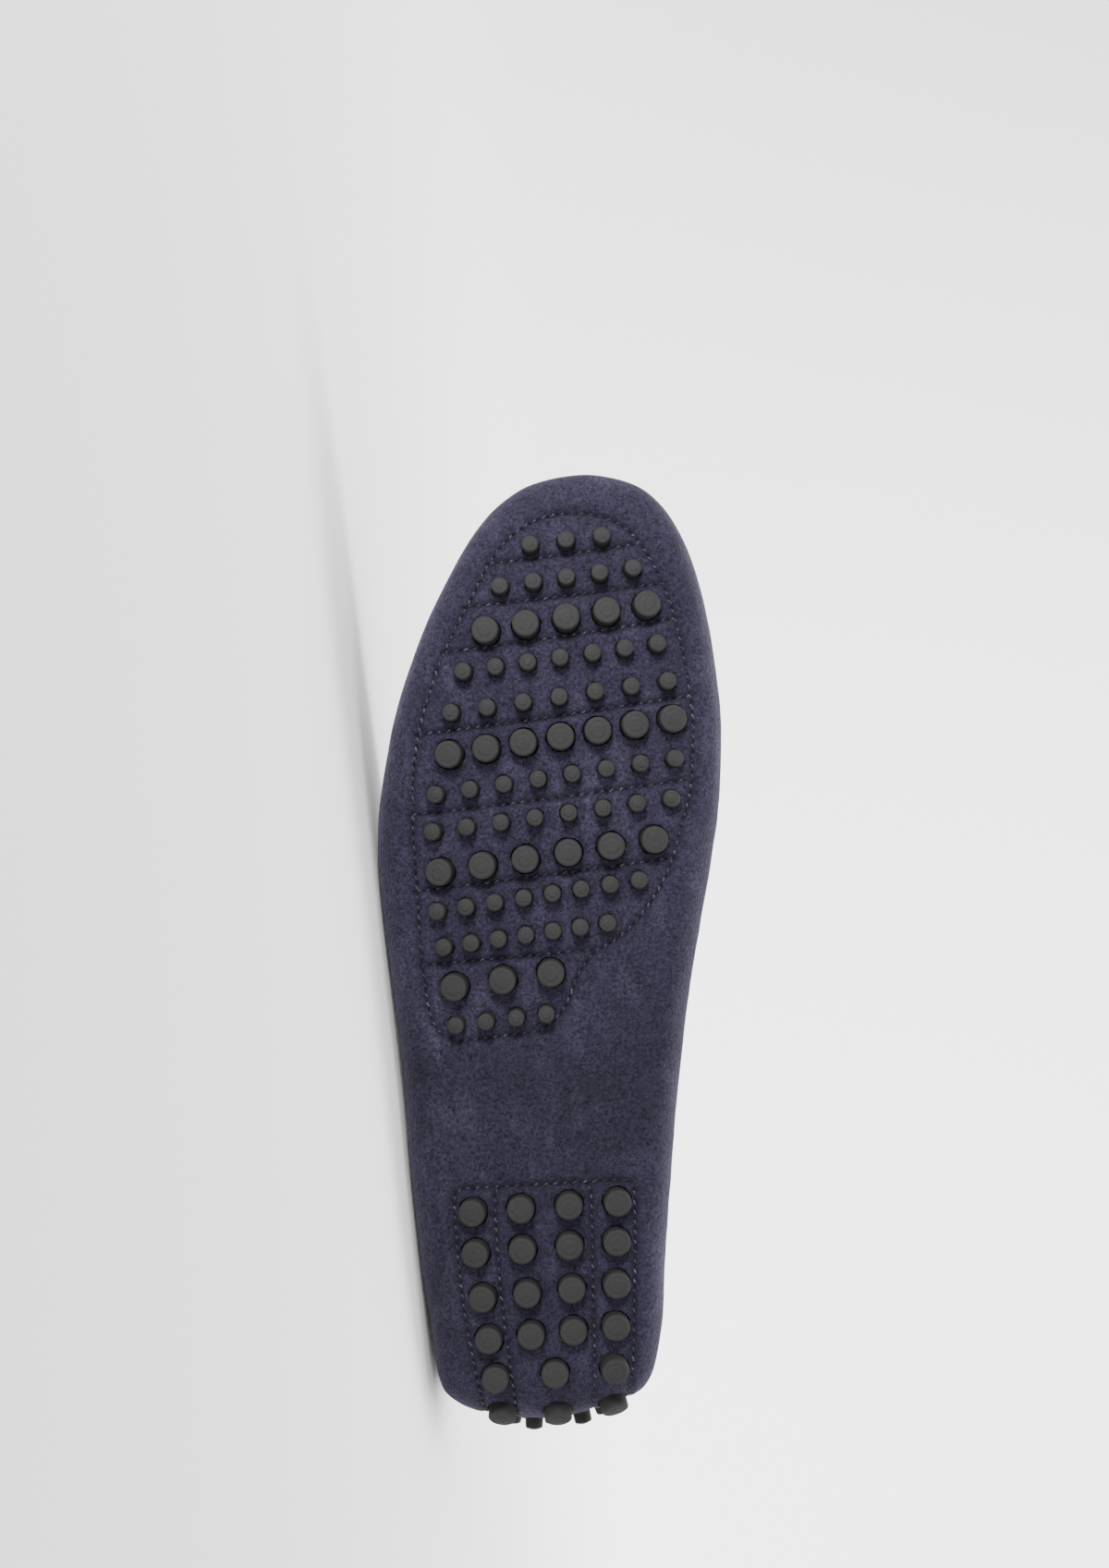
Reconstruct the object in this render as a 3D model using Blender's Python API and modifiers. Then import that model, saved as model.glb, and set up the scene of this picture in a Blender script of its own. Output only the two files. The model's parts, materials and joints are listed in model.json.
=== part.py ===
"""Right driving moccasin: a suede wrap over two pebbled rubber pads, lying on its outer side.

The shoe is made upright, in its own frame: x runs from the heel to the toe, y to the inner
side of the foot, and z up from the tread plane. An empty then lays it on its outer side.
"""
import math
from collections import namedtuple

import bmesh
import bpy
import numpy as np
from mathutils import Matrix, Vector
from mathutils.bvhtree import BVHTree

# Driving sizes of the shoe, in metres
LENGTH = 0.288
BALL_WIDTH = 0.103
INSTEP_HEIGHT = 0.060
TOE_SPRING = 0.012
ARCH_RISE = 0.002
HEEL_RISE = 0.0015

# The wrap: wall, rolled lower edge and raised seam
WALL = 0.0018
GAP = 0.0003
EDGE_INSET = 0.0095
EDGE_HEIGHT = 0.0110
HEEL_ROUND = 0.0160
HEEL_EDGE = 0.0150
TOE_EDGE = 0.0120
HEEL_LEAN = 0.0040
TOE_LEAN = 0.0170
WALL_CURVE = 2.3
SEAM_RIDGE = 0.0026
TOPLINE_LIP = 0.0012
THROAT = 0.52
THROAT_BLEND = 0.03

# The plug, the binding and the inner sole
APRON_THICKNESS = 0.0016
APRON_LIFT = 0.0004
TONGUE_LENGTH = 0.009
BINDING_RADIUS = 0.0016
INSOLE_THICKNESS = 0.0020
INSOLE_MARGIN = 0.0035

# The rubber pads and their pebbles
PAD_THICKNESS = 0.0015
PAD_GAP = 0.0005
LARGE_DIAMETER = 0.0085
SMALL_DIAMETER = 0.0054
LARGE_PROUD = 0.0033
SMALL_PROUD = 0.0033
PEBBLE_TAPER = 0.90
HOLE_CLEARANCE = 0.0005
HEEL_FAN = 0.020
HEEL_PAD_TOP = 0.039

HALF_BALL = BALL_WIDTH / 2

# Plan outline at its widest level: station as a share of the length from the heel,
# half width and centre line as shares of half the ball width, plus to the inner side
Outline = namedtuple("Outline", "station half_width centre")
OUTLINE = (
    Outline(0.000, 0.000, -0.130),
    Outline(0.004, 0.235, -0.130),
    Outline(0.015, 0.440, -0.110),
    Outline(0.033, 0.590, -0.070),
    Outline(0.055, 0.640, -0.055),
    Outline(0.095, 0.678, -0.050),
    Outline(0.170, 0.724, -0.072),
    Outline(0.290, 0.781, -0.084),
    Outline(0.405, 0.839, -0.082),
    Outline(0.525, 0.932, -0.078),
    Outline(0.600, 0.988, -0.057),
    Outline(0.640, 1.000, -0.039),
    Outline(0.720, 0.977, 0.003),
    Outline(0.800, 0.893, 0.046),
    Outline(0.875, 0.769, 0.096),
    Outline(0.950, 0.560, 0.138),
    Outline(0.986, 0.345, 0.160),
    Outline(1.000, 0.000, 0.172),
)

# Upper edge of the wrap: its height as a share of the instep height, its half width as a
# share of the outline's, and the crown of the plug as a share of the instep height
Rim = namedtuple("Rim", "station height narrow crown")
RIM = (
    Rim(0.00, 1.05, 0.85, 0.00),
    Rim(0.08, 1.02, 0.83, 0.00),
    Rim(0.18, 0.92, 0.79, 0.00),
    Rim(0.30, 0.82, 0.75, 0.00),
    Rim(0.42, 0.86, 0.70, 0.08),
    Rim(0.52, 0.98, 0.66, 0.15),
    Rim(0.60, 0.90, 0.66, 0.15),
    Rim(0.70, 0.78, 0.67, 0.14),
    Rim(0.80, 0.69, 0.68, 0.12),
    Rim(0.90, 0.63, 0.68, 0.09),
    Rim(1.00, 0.60, 0.68, 0.06),
)

# Underside from heel to toe: how much of the heel rise, arch rise and toe spring it has
Underside = namedtuple("Underside", "station heel arch toe")
UNDERSIDE = (
    Underside(0.00, 1.00, 0.00, 0.00),
    Underside(0.04, 0.20, 0.00, 0.00),
    Underside(0.06, 0.00, 0.00, 0.00),
    Underside(0.27, 0.00, 0.00, 0.00),
    Underside(0.36, 0.00, 1.00, 0.00),
    Underside(0.43, 0.00, 0.70, 0.00),
    Underside(0.51, 0.00, 0.00, 0.00),
    Underside(0.71, 0.00, 0.00, 0.00),
    Underside(0.80, 0.00, 0.00, 0.13),
    Underside(0.90, 0.00, 0.00, 0.48),
    Underside(1.00, 0.00, 0.00, 1.00),
)

# Edges of the forefoot pad, outer and inner, as shares of half the ball width
PadEdge = namedtuple("PadEdge", "station outer inner")
FOREFOOT_EDGE = (
    PadEdge(0.402, -0.560, -0.300),
    PadEdge(0.412, -0.680, -0.100),
    PadEdge(0.440, -0.740, 0.066),
    PadEdge(0.468, -0.762, 0.126),
    PadEdge(0.495, -0.780, 0.230),
    PadEdge(0.513, -0.788, 0.390),
    PadEdge(0.546, -0.798, 0.552),
    PadEdge(0.588, -0.814, 0.678),
    PadEdge(0.630, -0.828, 0.743),
    PadEdge(0.672, -0.828, 0.798),
    PadEdge(0.725, -0.792, 0.809),
    PadEdge(0.767, -0.728, 0.788),
    PadEdge(0.805, -0.656, 0.754),
    PadEdge(0.865, -0.492, 0.667),
    PadEdge(0.913, -0.350, 0.540),
    PadEdge(0.935, -0.235, 0.448),
    PadEdge(0.950, -0.100, 0.320),
    PadEdge(0.956, 0.030, 0.190),
)

# Edges of the heel pad along its run: minus is under the foot, plus turns up the back.
# The run is a share of the heel fan's radius, and skew moves the inner edge towards the toe
HeelEdge = namedtuple("HeelEdge", "run outer inner skew")
HEEL_EDGE_ROWS = (
    HeelEdge(-2.580, -0.480, 0.360, 0.14),
    HeelEdge(-2.400, -0.585, 0.465, 0.13),
    HeelEdge(-1.600, -0.565, 0.470, 0.12),
    HeelEdge(-0.800, -0.530, 0.465, 0.12),
    HeelEdge(0.000, -0.475, 0.460, 0.12),
    HeelEdge(0.600, -0.430, 0.440, 0.08),
    HeelEdge(1.200, -0.400, 0.410, 0.02),
    HeelEdge(1.900, -0.370, 0.380, 0.00),
    HeelEdge(2.350, -0.300, 0.310, 0.00),
)

# Rows of forefoot pebbles: place of the outermost and the innermost, evenly filled between
PebbleRow = namedtuple("PebbleRow", "outer_station outer inner_station inner count size")
FOREFOOT_PEBBLES = (
    PebbleRow(0.419, -0.581, 0.431, -0.048, 4, "small"),
    PebbleRow(0.459, -0.592, 0.474, -0.022, 3, "large"),
    PebbleRow(0.501, -0.651, 0.526, 0.312, 7, "small"),
    PebbleRow(0.538, -0.689, 0.571, 0.495, 8, "small"),
    PebbleRow(0.579, -0.679, 0.613, 0.587, 6, "large"),
    PebbleRow(0.621, -0.716, 0.656, 0.684, 8, "small"),
    PebbleRow(0.660, -0.699, 0.698, 0.705, 8, "small"),
    PebbleRow(0.702, -0.624, 0.739, 0.694, 7, "large"),
    PebbleRow(0.745, -0.608, 0.778, 0.662, 7, "small"),
    PebbleRow(0.788, -0.538, 0.817, 0.603, 7, "small"),
    PebbleRow(0.831, -0.409, 0.858, 0.544, 5, "large"),
    PebbleRow(0.877, -0.323, 0.896, 0.460, 5, "small"),
    PebbleRow(0.921, -0.146, 0.930, 0.277, 3, "small"),
)

# Rows of heel pebbles, placed along the heel pad's run
HeelRow = namedtuple("HeelRow", "outer_run outer inner_run inner count size")
HEEL_PEBBLES = (
    HeelRow(-2.215, -0.485, -2.375, 0.371, 4, "large"),
    HeelRow(-1.595, -0.468, -1.780, 0.366, 4, "large"),
    HeelRow(-0.925, -0.426, -1.140, 0.366, 4, "large"),
    HeelRow(-0.305, -0.387, -0.505, 0.361, 4, "large"),
    HeelRow(0.264, -0.345, 0.120, 0.350, 3, "large"),
    HeelRow(0.860, -0.305, 0.840, 0.340, 3, "large"),
    HeelRow(1.270, -0.125, 1.270, 0.155, 2, "small"),
    HeelRow(1.700, -0.280, 1.700, 0.300, 3, "large"),
    HeelRow(2.110, -0.125, 2.110, 0.145, 2, "small"),
)

# Facets: enough for the curves and few enough for the solid
STATIONS = 28
EDGE_STEPS = 4
WALL_STEPS = 4
FINE = 5
LARGE_SIDES = 9
SMALL_SIDES = 7
SHARE_STEP = 0.002


def smooth_curve(rows, column):
    """Cubic through the rows of a table, with no overshoot between them."""
    places = np.array([row[0] for row in rows])
    values = np.array([getattr(row, column) for row in rows])
    steps = np.diff(places)
    slopes = np.diff(values) / steps
    tangents = np.zeros(len(rows))
    tangents[0] = slopes[0]
    tangents[-1] = slopes[-1]
    for row in range(1, len(rows) - 1):
        before = slopes[row - 1]
        after = slopes[row]
        if before * after > 0:
            tangents[row] = 2 * before * after / (before + after)

    def value(place):
        place = min(max(place, places[0]), places[-1])
        row = min(int(np.searchsorted(places, place, side="right")) - 1, len(rows) - 2)
        part = (place - places[row]) / steps[row]
        start = (1 + 2 * part) * (1 - part) ** 2 * values[row]
        end = part ** 2 * (3 - 2 * part) * values[row + 1]
        leave = part * (1 - part) ** 2 * steps[row] * tangents[row]
        arrive = part ** 2 * (part - 1) * steps[row] * tangents[row + 1]
        return start + end + leave + arrive

    return value


def squared_rows(rows):
    """Outline with its half width squared, so that both ends close as round arcs."""
    return [row._replace(half_width=row.half_width ** 2) for row in rows]


width_curve = smooth_curve(squared_rows(OUTLINE), "half_width")
centre_curve = smooth_curve(OUTLINE, "centre")
rim_height_curve = smooth_curve(RIM, "height")
rim_narrow_curve = smooth_curve(RIM, "narrow")
crown_curve = smooth_curve(RIM, "crown")
heel_rise_curve = smooth_curve(UNDERSIDE, "heel")
arch_curve = smooth_curve(UNDERSIDE, "arch")
toe_spring_curve = smooth_curve(UNDERSIDE, "toe")


def half_width(share):
    return HALF_BALL * math.sqrt(max(width_curve(share), 0.0))


def underside_height(x):
    """Height of the suede underside over the tread plane, at a distance from the heel."""
    share = x / LENGTH
    rise = HEEL_RISE * heel_rise_curve(share) + ARCH_RISE * arch_curve(share)
    return LARGE_PROUD + rise + TOE_SPRING * toe_spring_curve(share)


def plan_point(share, side, narrow, heel_in, toe_in):
    """Place on the outline, narrowed across and drawn in at the heel and toe."""
    x = heel_in + share * (LENGTH - heel_in - toe_in)
    y = HALF_BALL * centre_curve(share) + side * narrow * half_width(share)
    return x, y


def feather_point(share, side):
    """Where the flat underside starts to roll up."""
    x, y = plan_point(share, side, 1 - EDGE_INSET / HALF_BALL, HEEL_EDGE, TOE_EDGE)
    return Vector((x, y, underside_height(x)))


def widest_point(share, side):
    """Line along the side where the shoe is widest, higher round the heel."""
    x, y = plan_point(share, side, 1.0, 0.0, 0.0)
    rise = EDGE_HEIGHT + (HEEL_ROUND - EDGE_HEIGHT) * heel_rise_curve(share)
    return Vector((x, y, feather_point(share, side).z + rise))


def rim_point(share, side):
    """Top of the wrap's wall: the moccasin seam in front of the throat, the topline behind."""
    x, y = plan_point(share, side, rim_narrow_curve(share), HEEL_LEAN, TOE_LEAN)
    return Vector((x, y, INSTEP_HEIGHT * rim_height_curve(share)))


def rim_lip(share):
    """Height of the upright edge over the wall: a raised seam that dies out at the throat."""
    blend = min(max((share - THROAT + THROAT_BLEND) / (2 * THROAT_BLEND), 0.0), 1.0)
    return TOPLINE_LIP + (SEAM_RIDGE - TOPLINE_LIP) * blend


def edge_point(share, side, turn):
    """Rolled lower edge, from the underside (turn 0) to the widest line (turn 1)."""
    low = feather_point(share, side)
    out = widest_point(share, side)
    angle = turn * math.pi / 2
    point = low.lerp(out, math.sin(angle))
    point.z = low.z + (out.z - low.z) * (1 - math.cos(angle))
    return point


def wall_point(share, side, rise):
    """Side wall, upright at the widest line (rise 0) and leaning in to the rim (rise 1)."""
    low = widest_point(share, side)
    top = rim_point(share, side)
    point = low.lerp(top, rise ** WALL_CURVE)
    point.z = low.z + (top.z - low.z) * rise
    return point


def lip_point(share, side):
    return rim_point(share, side) + Vector((0, 0, rim_lip(share)))


def ring_places(stations):
    """Stations round the shoe: heel, inner side, toe, outer side, closer together at both ends."""
    shares = [(1 - math.cos(math.pi * step / stations)) / 2 for step in range(stations + 1)]
    inner = [(share, 1) for share in shares]
    outer = [(share, -1) for share in reversed(shares[1:-1])]
    return inner + outer


def wrap_surface(stations, edge_steps, wall_steps):
    """Outer face of the wrap: strips under the foot, then rings up to the rim."""
    places = ring_places(stations)
    rings = [[edge_point(*place, step / edge_steps) for place in places]
             for step in range(edge_steps)]
    rings += [[wall_point(*place, step / wall_steps) for place in places]
              for step in range(wall_steps + 1)]
    rings.append([lip_point(*place) for place in places])
    around = len(places)
    vertices = [point for ring in rings for point in ring]
    faces = []
    for level in range(len(rings) - 1):
        for step in range(around):
            after = (step + 1) % around
            low = level * around
            high = low + around
            faces.append((low + step, low + after, high + after, high + step))
    for step in range(1, stations - 1):
        faces.append((step, around - step, around - step - 1, step + 1))
    faces.append((0, around - 1, 1))
    faces.append((stations - 1, stations + 1, stations))
    return vertices, faces


skin_tree = BVHTree.FromPolygons(*wrap_surface(STATIONS * FINE, EDGE_STEPS * FINE, WALL_STEPS * FINE))


def on_skin(origin, direction):
    """Point of the wrap's outer face that a line from inside meets, with its outward normal."""
    place, normal = skin_tree.ray_cast(origin, direction)[:2]
    if normal.dot(direction) < 0:
        normal = -normal
    return place, normal


def under_foot(station, across):
    """Point under the forefoot, from shares of the length and of half the ball width."""
    origin = Vector((station * LENGTH, across * HALF_BALL, LARGE_PROUD + HEEL_FAN))
    return on_skin(origin, Vector((0, 0, -1)))


def round_heel(run, across):
    """Point along the heel pad: flat under the foot, round the heel, then up its back."""
    height = LARGE_PROUD + HEEL_FAN
    y = across * HALF_BALL
    quarter = math.pi / 2
    if run < 0:
        return on_skin(Vector((HEEL_FAN * (1 - run), y, height)), Vector((0, 0, -1)))
    if run > quarter:
        origin = Vector((HEEL_FAN, y, height + HEEL_FAN * (run - quarter)))
        return on_skin(origin, Vector((-1, 0, 0)))
    direction = Vector((-math.sin(run), 0, -math.cos(run)))
    return on_skin(Vector((HEEL_FAN, y, height)), direction)


def clear_scene():
    for item in list(bpy.data.objects):
        bpy.data.objects.remove(item, do_unlink=True)


def make_material(name, colour, roughness):
    material = bpy.data.materials.new(name)
    material.use_nodes = True
    shader = material.node_tree.nodes["Principled BSDF"]
    shader.inputs["Base Color"].default_value = (*colour, 1.0)
    shader.inputs["Roughness"].default_value = roughness
    shader.inputs["Metallic"].default_value = 0.0
    return material


def add_object(name, mesh, material, collection):
    item = bpy.data.objects.new(name, mesh)
    mesh.materials.append(material)
    mesh.shade_smooth()
    mesh.set_sharp_from_angle(angle=math.radians(35))
    collection.objects.link(item)
    return item


def mesh_from(name, vertices, faces, outward):
    """Mesh whose first face looks along the given direction, with equal points merged."""
    mesh = bpy.data.meshes.new(name)
    mesh.from_pydata([tuple(point) for point in vertices], [], faces)
    sheet = bmesh.new()
    sheet.from_mesh(mesh)
    bmesh.ops.remove_doubles(sheet, verts=sheet.verts, dist=1e-6)
    sheet.faces.ensure_lookup_table()
    bmesh.ops.recalc_face_normals(sheet, faces=sheet.faces)
    if sum((face.normal * face.calc_area() for face in sheet.faces), Vector()).dot(outward) < 0:
        bmesh.ops.reverse_faces(sheet, faces=sheet.faces)
    sheet.to_mesh(mesh)
    sheet.free()
    return mesh


def grid_faces(rows, columns):
    faces = []
    for row in range(rows - 1):
        for column in range(columns - 1):
            here = row * columns + column
            faces.append((here, here + 1, here + columns + 1, here + columns))
    return faces


def thicken(item, thickness):
    """Give an open sheet its thickness, on the side that its faces look away from."""
    shell = item.modifiers.new("Thickness", "SOLIDIFY")
    shell.thickness = thickness
    shell.offset = -1.0
    shell.use_even_offset = True
    shell.use_quality_normals = True
    return item


def boolean(item, other, operation):
    cut = item.modifiers.new(other.name, "BOOLEAN")
    cut.operation = operation
    cut.object = other
    cut.solver = "EXACT"


def add_cutter(name, mesh, collection):
    item = bpy.data.objects.new(name, mesh)
    item.hide_render = True
    item.display_type = "WIRE"
    collection.objects.link(item)
    return item


def axis_frame(place, axis):
    """Frame at a place whose z runs along the axis, turned the same way for pebble and hole."""
    across = (Vector((0, 1, 0)) - axis * axis.y).normalized()
    along = across.cross(axis)
    turn = Matrix((along, across, axis)).transposed().to_4x4()
    return Matrix.Translation(place) @ turn


def row_places(row, locate):
    """Evenly spaced points of one row of pebbles, with their outward normals."""
    for step in range(row.count):
        part = step / (row.count - 1)
        along = row[0] + (row[2] - row[0]) * part
        across = row.outer + (row.inner - row.outer) * part
        yield locate(along, across)


def pebble_sizes(size):
    if size == "large":
        return LARGE_DIAMETER / 2, LARGE_PROUD, LARGE_SIDES
    return SMALL_DIAMETER / 2, SMALL_PROUD, SMALL_SIDES


def pebble_mesh(name, rows, locate):
    """Pebbles of one pad, each rooted halfway into the rubber sheet."""
    studs = bmesh.new()
    root = WALL + PAD_GAP + PAD_THICKNESS / 2
    for row in rows:
        radius, proud, sides = pebble_sizes(row.size)
        for place, normal in row_places(row, locate):
            frame = axis_frame(place + normal * (proud - root) / 2, normal)
            bmesh.ops.create_cone(
                studs, cap_ends=True, cap_tris=False, segments=sides, radius1=radius,
                radius2=radius * PEBBLE_TAPER, depth=proud + root, matrix=frame)
    mesh = bpy.data.meshes.new(name)
    studs.to_mesh(mesh)
    studs.free()
    return mesh


def hole_mesh(name, rows, locate):
    """Punched holes of the wrap for the pebbles of one pad."""
    punches = bmesh.new()
    for row in rows:
        radius, _, sides = pebble_sizes(row.size)
        for place, normal in row_places(row, locate):
            bmesh.ops.create_cone(
                punches, cap_ends=True, cap_tris=False, segments=sides,
                radius1=radius + HOLE_CLEARANCE, radius2=radius + HOLE_CLEARANCE,
                depth=2.6 * WALL, matrix=axis_frame(place - normal * WALL / 2, normal))
    mesh = bpy.data.meshes.new(name)
    punches.to_mesh(mesh)
    punches.free()
    return mesh


def make_upper(materials, parts, cutters):
    """The suede wrap: a bowl from under the foot to its rim, punched for the pebbles."""
    mesh = mesh_from("upper", *wrap_surface(STATIONS, EDGE_STEPS, WALL_STEPS), Vector((0, 0, -1)))
    upper = thicken(add_object("upper", mesh, materials["suede"], parts), WALL)
    for name, rows, locate in (("forefoot_holes", FOREFOOT_PEBBLES, under_foot),
                               ("heel_holes", HEEL_PEBBLES, round_heel)):
        punches = add_cutter(name, hole_mesh(name, rows, locate), cutters)
        boolean(upper, punches, "DIFFERENCE")
    return upper


def make_pad(name, grid, rows, locate, materials, parts, cutters):
    """A rubber sheet inside the wrap with its pebbles joined on."""
    inset = WALL + PAD_GAP
    vertices = [place - normal * inset for line in grid for place, normal in line]
    mesh = mesh_from(name, vertices, grid_faces(len(grid), len(grid[0])), Vector((0, 0, -1)))
    pad = thicken(add_object(name, mesh, materials["rubber"], parts), PAD_THICKNESS)
    studs = add_cutter(name + "_pebbles", pebble_mesh(name + "_pebbles", rows, locate), cutters)
    boolean(pad, studs, "UNION")
    return pad


def forefoot_grid():
    outer = smooth_curve(FOREFOOT_EDGE, "outer")
    inner = smooth_curve(FOREFOOT_EDGE, "inner")
    columns = 5
    grid = []
    for row in FOREFOOT_EDGE:
        line = []
        for column in range(columns):
            part = column / (columns - 1)
            across = outer(row.station) * (1 - part) + inner(row.station) * part
            line.append(under_foot(row.station, across))
        grid.append(line)
    return grid


def heel_grid():
    outer = smooth_curve(HEEL_EDGE_ROWS, "outer")
    inner = smooth_curve(HEEL_EDGE_ROWS, "inner")
    skew = smooth_curve(HEEL_EDGE_ROWS, "skew")
    columns = 5
    lines = 18
    first = HEEL_EDGE_ROWS[0].run
    last = math.pi / 2 + (HEEL_PAD_TOP - LARGE_PROUD - HEEL_FAN) / HEEL_FAN
    grid = []
    for step in range(lines):
        run = first + (last - first) * step / (lines - 1)
        line = []
        for column in range(columns):
            part = column / (columns - 1)
            across = outer(run) * (1 - part) + inner(run) * part
            line.append(round_heel(run - skew(run) * part, across))
        grid.append(line)
    return grid


def apron_edge(share, side):
    """Edge of the plug, just inside the upright seam of the wrap."""
    if share < 1.0:
        before = rim_point(share - SHARE_STEP, side)
        after = rim_point(min(share + SHARE_STEP, 1.0), side)
        along = (after - before).xy
        inward = Vector((along.y, -along.x)).normalized() * side
    else:
        inward = Vector((-1, 0))
    here = rim_point(share, side)
    reach = WALL + GAP
    return Vector((here.x + inward.x * reach, here.y + inward.y * reach, here.z + APRON_LIFT))


def make_apron(materials, parts):
    """The plug: a crowned sheet from the toe seam to a short tongue at the throat."""
    lines = 18
    columns = 7
    vertices = []
    for step in range(lines):
        part = step / (lines - 1)
        share = THROAT + (1 - THROAT) * math.sin(part * math.pi / 2)
        inner = apron_edge(share, 1)
        outer = apron_edge(share, -1)
        for column in range(columns):
            across = column / (columns - 1)
            crown = 4 * across * (1 - across)
            point = inner.lerp(outer, across)
            point.z += INSTEP_HEIGHT * crown_curve(share) * crown
            point.x -= TONGUE_LENGTH * crown * (1 - part) ** 2
            vertices.append(point)
    mesh = mesh_from("apron", vertices, grid_faces(lines, columns), Vector((0, 0, 1)))
    return thicken(add_object("apron", mesh, materials["suede"], parts), APRON_THICKNESS)


def make_binding(materials, parts):
    """The bound topline: a soft bead on the wrap's rim, from the throat round the heel."""
    places = [place for place in ring_places(STATIONS) if place[0] < THROAT - 0.01]
    inner = [place for place in places if place[1] > 0]
    outer = [place for place in places if place[1] < 0]
    route = list(reversed(inner)) + list(reversed(outer))
    curve = bpy.data.curves.new("collar_binding", "CURVE")
    curve.dimensions = "3D"
    curve.bevel_depth = BINDING_RADIUS
    curve.bevel_resolution = 2
    curve.use_fill_caps = True
    line = curve.splines.new("POLY")
    line.points.add(len(route) - 1)
    centre = Vector((LENGTH * THROAT / 2, 0, 0))
    for point, (share, side) in zip(line.points, route):
        top = lip_point(share, side)
        inward = (centre - top).xy.normalized() * WALL / 2
        height = top.z + GAP + BINDING_RADIUS
        point.co = (top.x + inward.x, top.y + inward.y, height, 1)
    item = bpy.data.objects.new("collar_binding", curve)
    curve.materials.append(materials["binding"])
    parts.objects.link(item)
    return item


def make_insole(materials, parts):
    """The inner sole: a sheet over both pads, clear of the wall all round."""
    height = WALL + PAD_GAP + PAD_THICKNESS + GAP + INSOLE_THICKNESS
    lines = 24
    vertices = []
    for step in range(lines + 1):
        share = (1 - math.cos(math.pi * step / lines)) / 2
        inner = feather_point(share, 1)
        outer = feather_point(share, -1)
        middle = (inner + outer) / 2
        for edge in (inner, outer):
            reach = edge - middle
            trimmed = middle + reach * (1 - INSOLE_MARGIN / HALF_BALL)
            vertices.append(trimmed + Vector((0, 0, height)))
    mesh = mesh_from("insole", vertices, grid_faces(lines + 1, 2), Vector((0, 0, 1)))
    return thicken(add_object("insole", mesh, materials["lining"], parts), INSOLE_THICKNESS)


def solid_points(items):
    """Evaluated points of every piece, and the centre of mass of them all as one material."""
    graph = bpy.context.evaluated_depsgraph_get()
    points = []
    volume = 0.0
    moment = Vector()
    for item in items:
        shape = item.evaluated_get(graph).to_mesh()
        shape.calc_loop_triangles()
        corners = [item.matrix_world @ corner.co for corner in shape.vertices]
        for triangle in shape.loop_triangles:
            a, b, c = (corners[index] for index in triangle.vertices)
            share = a.dot(b.cross(c)) / 6
            volume += share
            moment += share * (a + b + c) / 4
        points += corners
        item.evaluated_get(graph).to_mesh_clear()
    return points, moment / volume


def lying_pose(items):
    """Turn that lays the shoe on its outer side, on the facet under its centre of mass."""
    points, balance = solid_points(items)
    hull = bmesh.new()
    for point in points:
        hull.verts.new(point)
    bmesh.ops.convex_hull(hull, input=hull.verts, use_existing_faces=False)
    loose = [corner for corner in hull.verts if not corner.link_faces]
    bmesh.ops.delete(hull, geom=loose, context="VERTS")
    bmesh.ops.recalc_face_normals(hull, faces=hull.faces)
    tree = BVHTree.FromBMesh(hull)
    down = tree.ray_cast(balance, Vector((0, -1, 0)))[1]
    for _ in range(20):
        down = tree.ray_cast(balance, down)[1]
    hull.free()
    up = -down
    back = (Vector((-1, 0, 0)) - up * -up.x).normalized()
    turn = Matrix((back, up.cross(back), up)).to_4x4()
    turned = np.array([turn @ point for point in points])
    low = turned.min(axis=0)
    high = turned.max(axis=0)
    middle = (low + high) / 2
    return Matrix.Translation((-middle[0], -middle[1], -low[2])) @ turn


def build():
    clear_scene()
    parts = bpy.data.collections.new("driving_moccasin")
    cutters = bpy.data.collections.new("cutters")
    bpy.context.scene.collection.children.link(parts)
    bpy.context.scene.collection.children.link(cutters)
    materials = {
        "suede": make_material("navy_suede", (0.075, 0.072, 0.135), 0.95),
        "binding": make_material("navy_binding", (0.055, 0.053, 0.100), 0.85),
        "rubber": make_material("charcoal_rubber", (0.045, 0.044, 0.043), 0.60),
        "lining": make_material("leather_lining", (0.230, 0.170, 0.115), 0.60),
    }
    pieces = [
        make_upper(materials, parts, cutters),
        make_apron(materials, parts),
        make_binding(materials, parts),
        make_pad("forefoot_pad", forefoot_grid(), FOREFOOT_PEBBLES, under_foot,
                 materials, parts, cutters),
        make_pad("heel_pad", heel_grid(), HEEL_PEBBLES, round_heel, materials, parts, cutters),
        make_insole(materials, parts),
    ]
    pose = bpy.data.objects.new("lying_pose", None)
    parts.objects.link(pose)
    for item in pieces + list(cutters.objects):
        item.parent = pose
    bpy.context.view_layer.update()
    pose.matrix_world = lying_pose(pieces)
    bpy.context.view_layer.update()


build()
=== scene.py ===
import json
import math
import random
from collections import namedtuple

import bmesh
import bpy
import numpy as np
from mathutils import Matrix, Vector, noise
from mathutils.bvhtree import BVHTree
from mathutils.kdtree import KDTree


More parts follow.
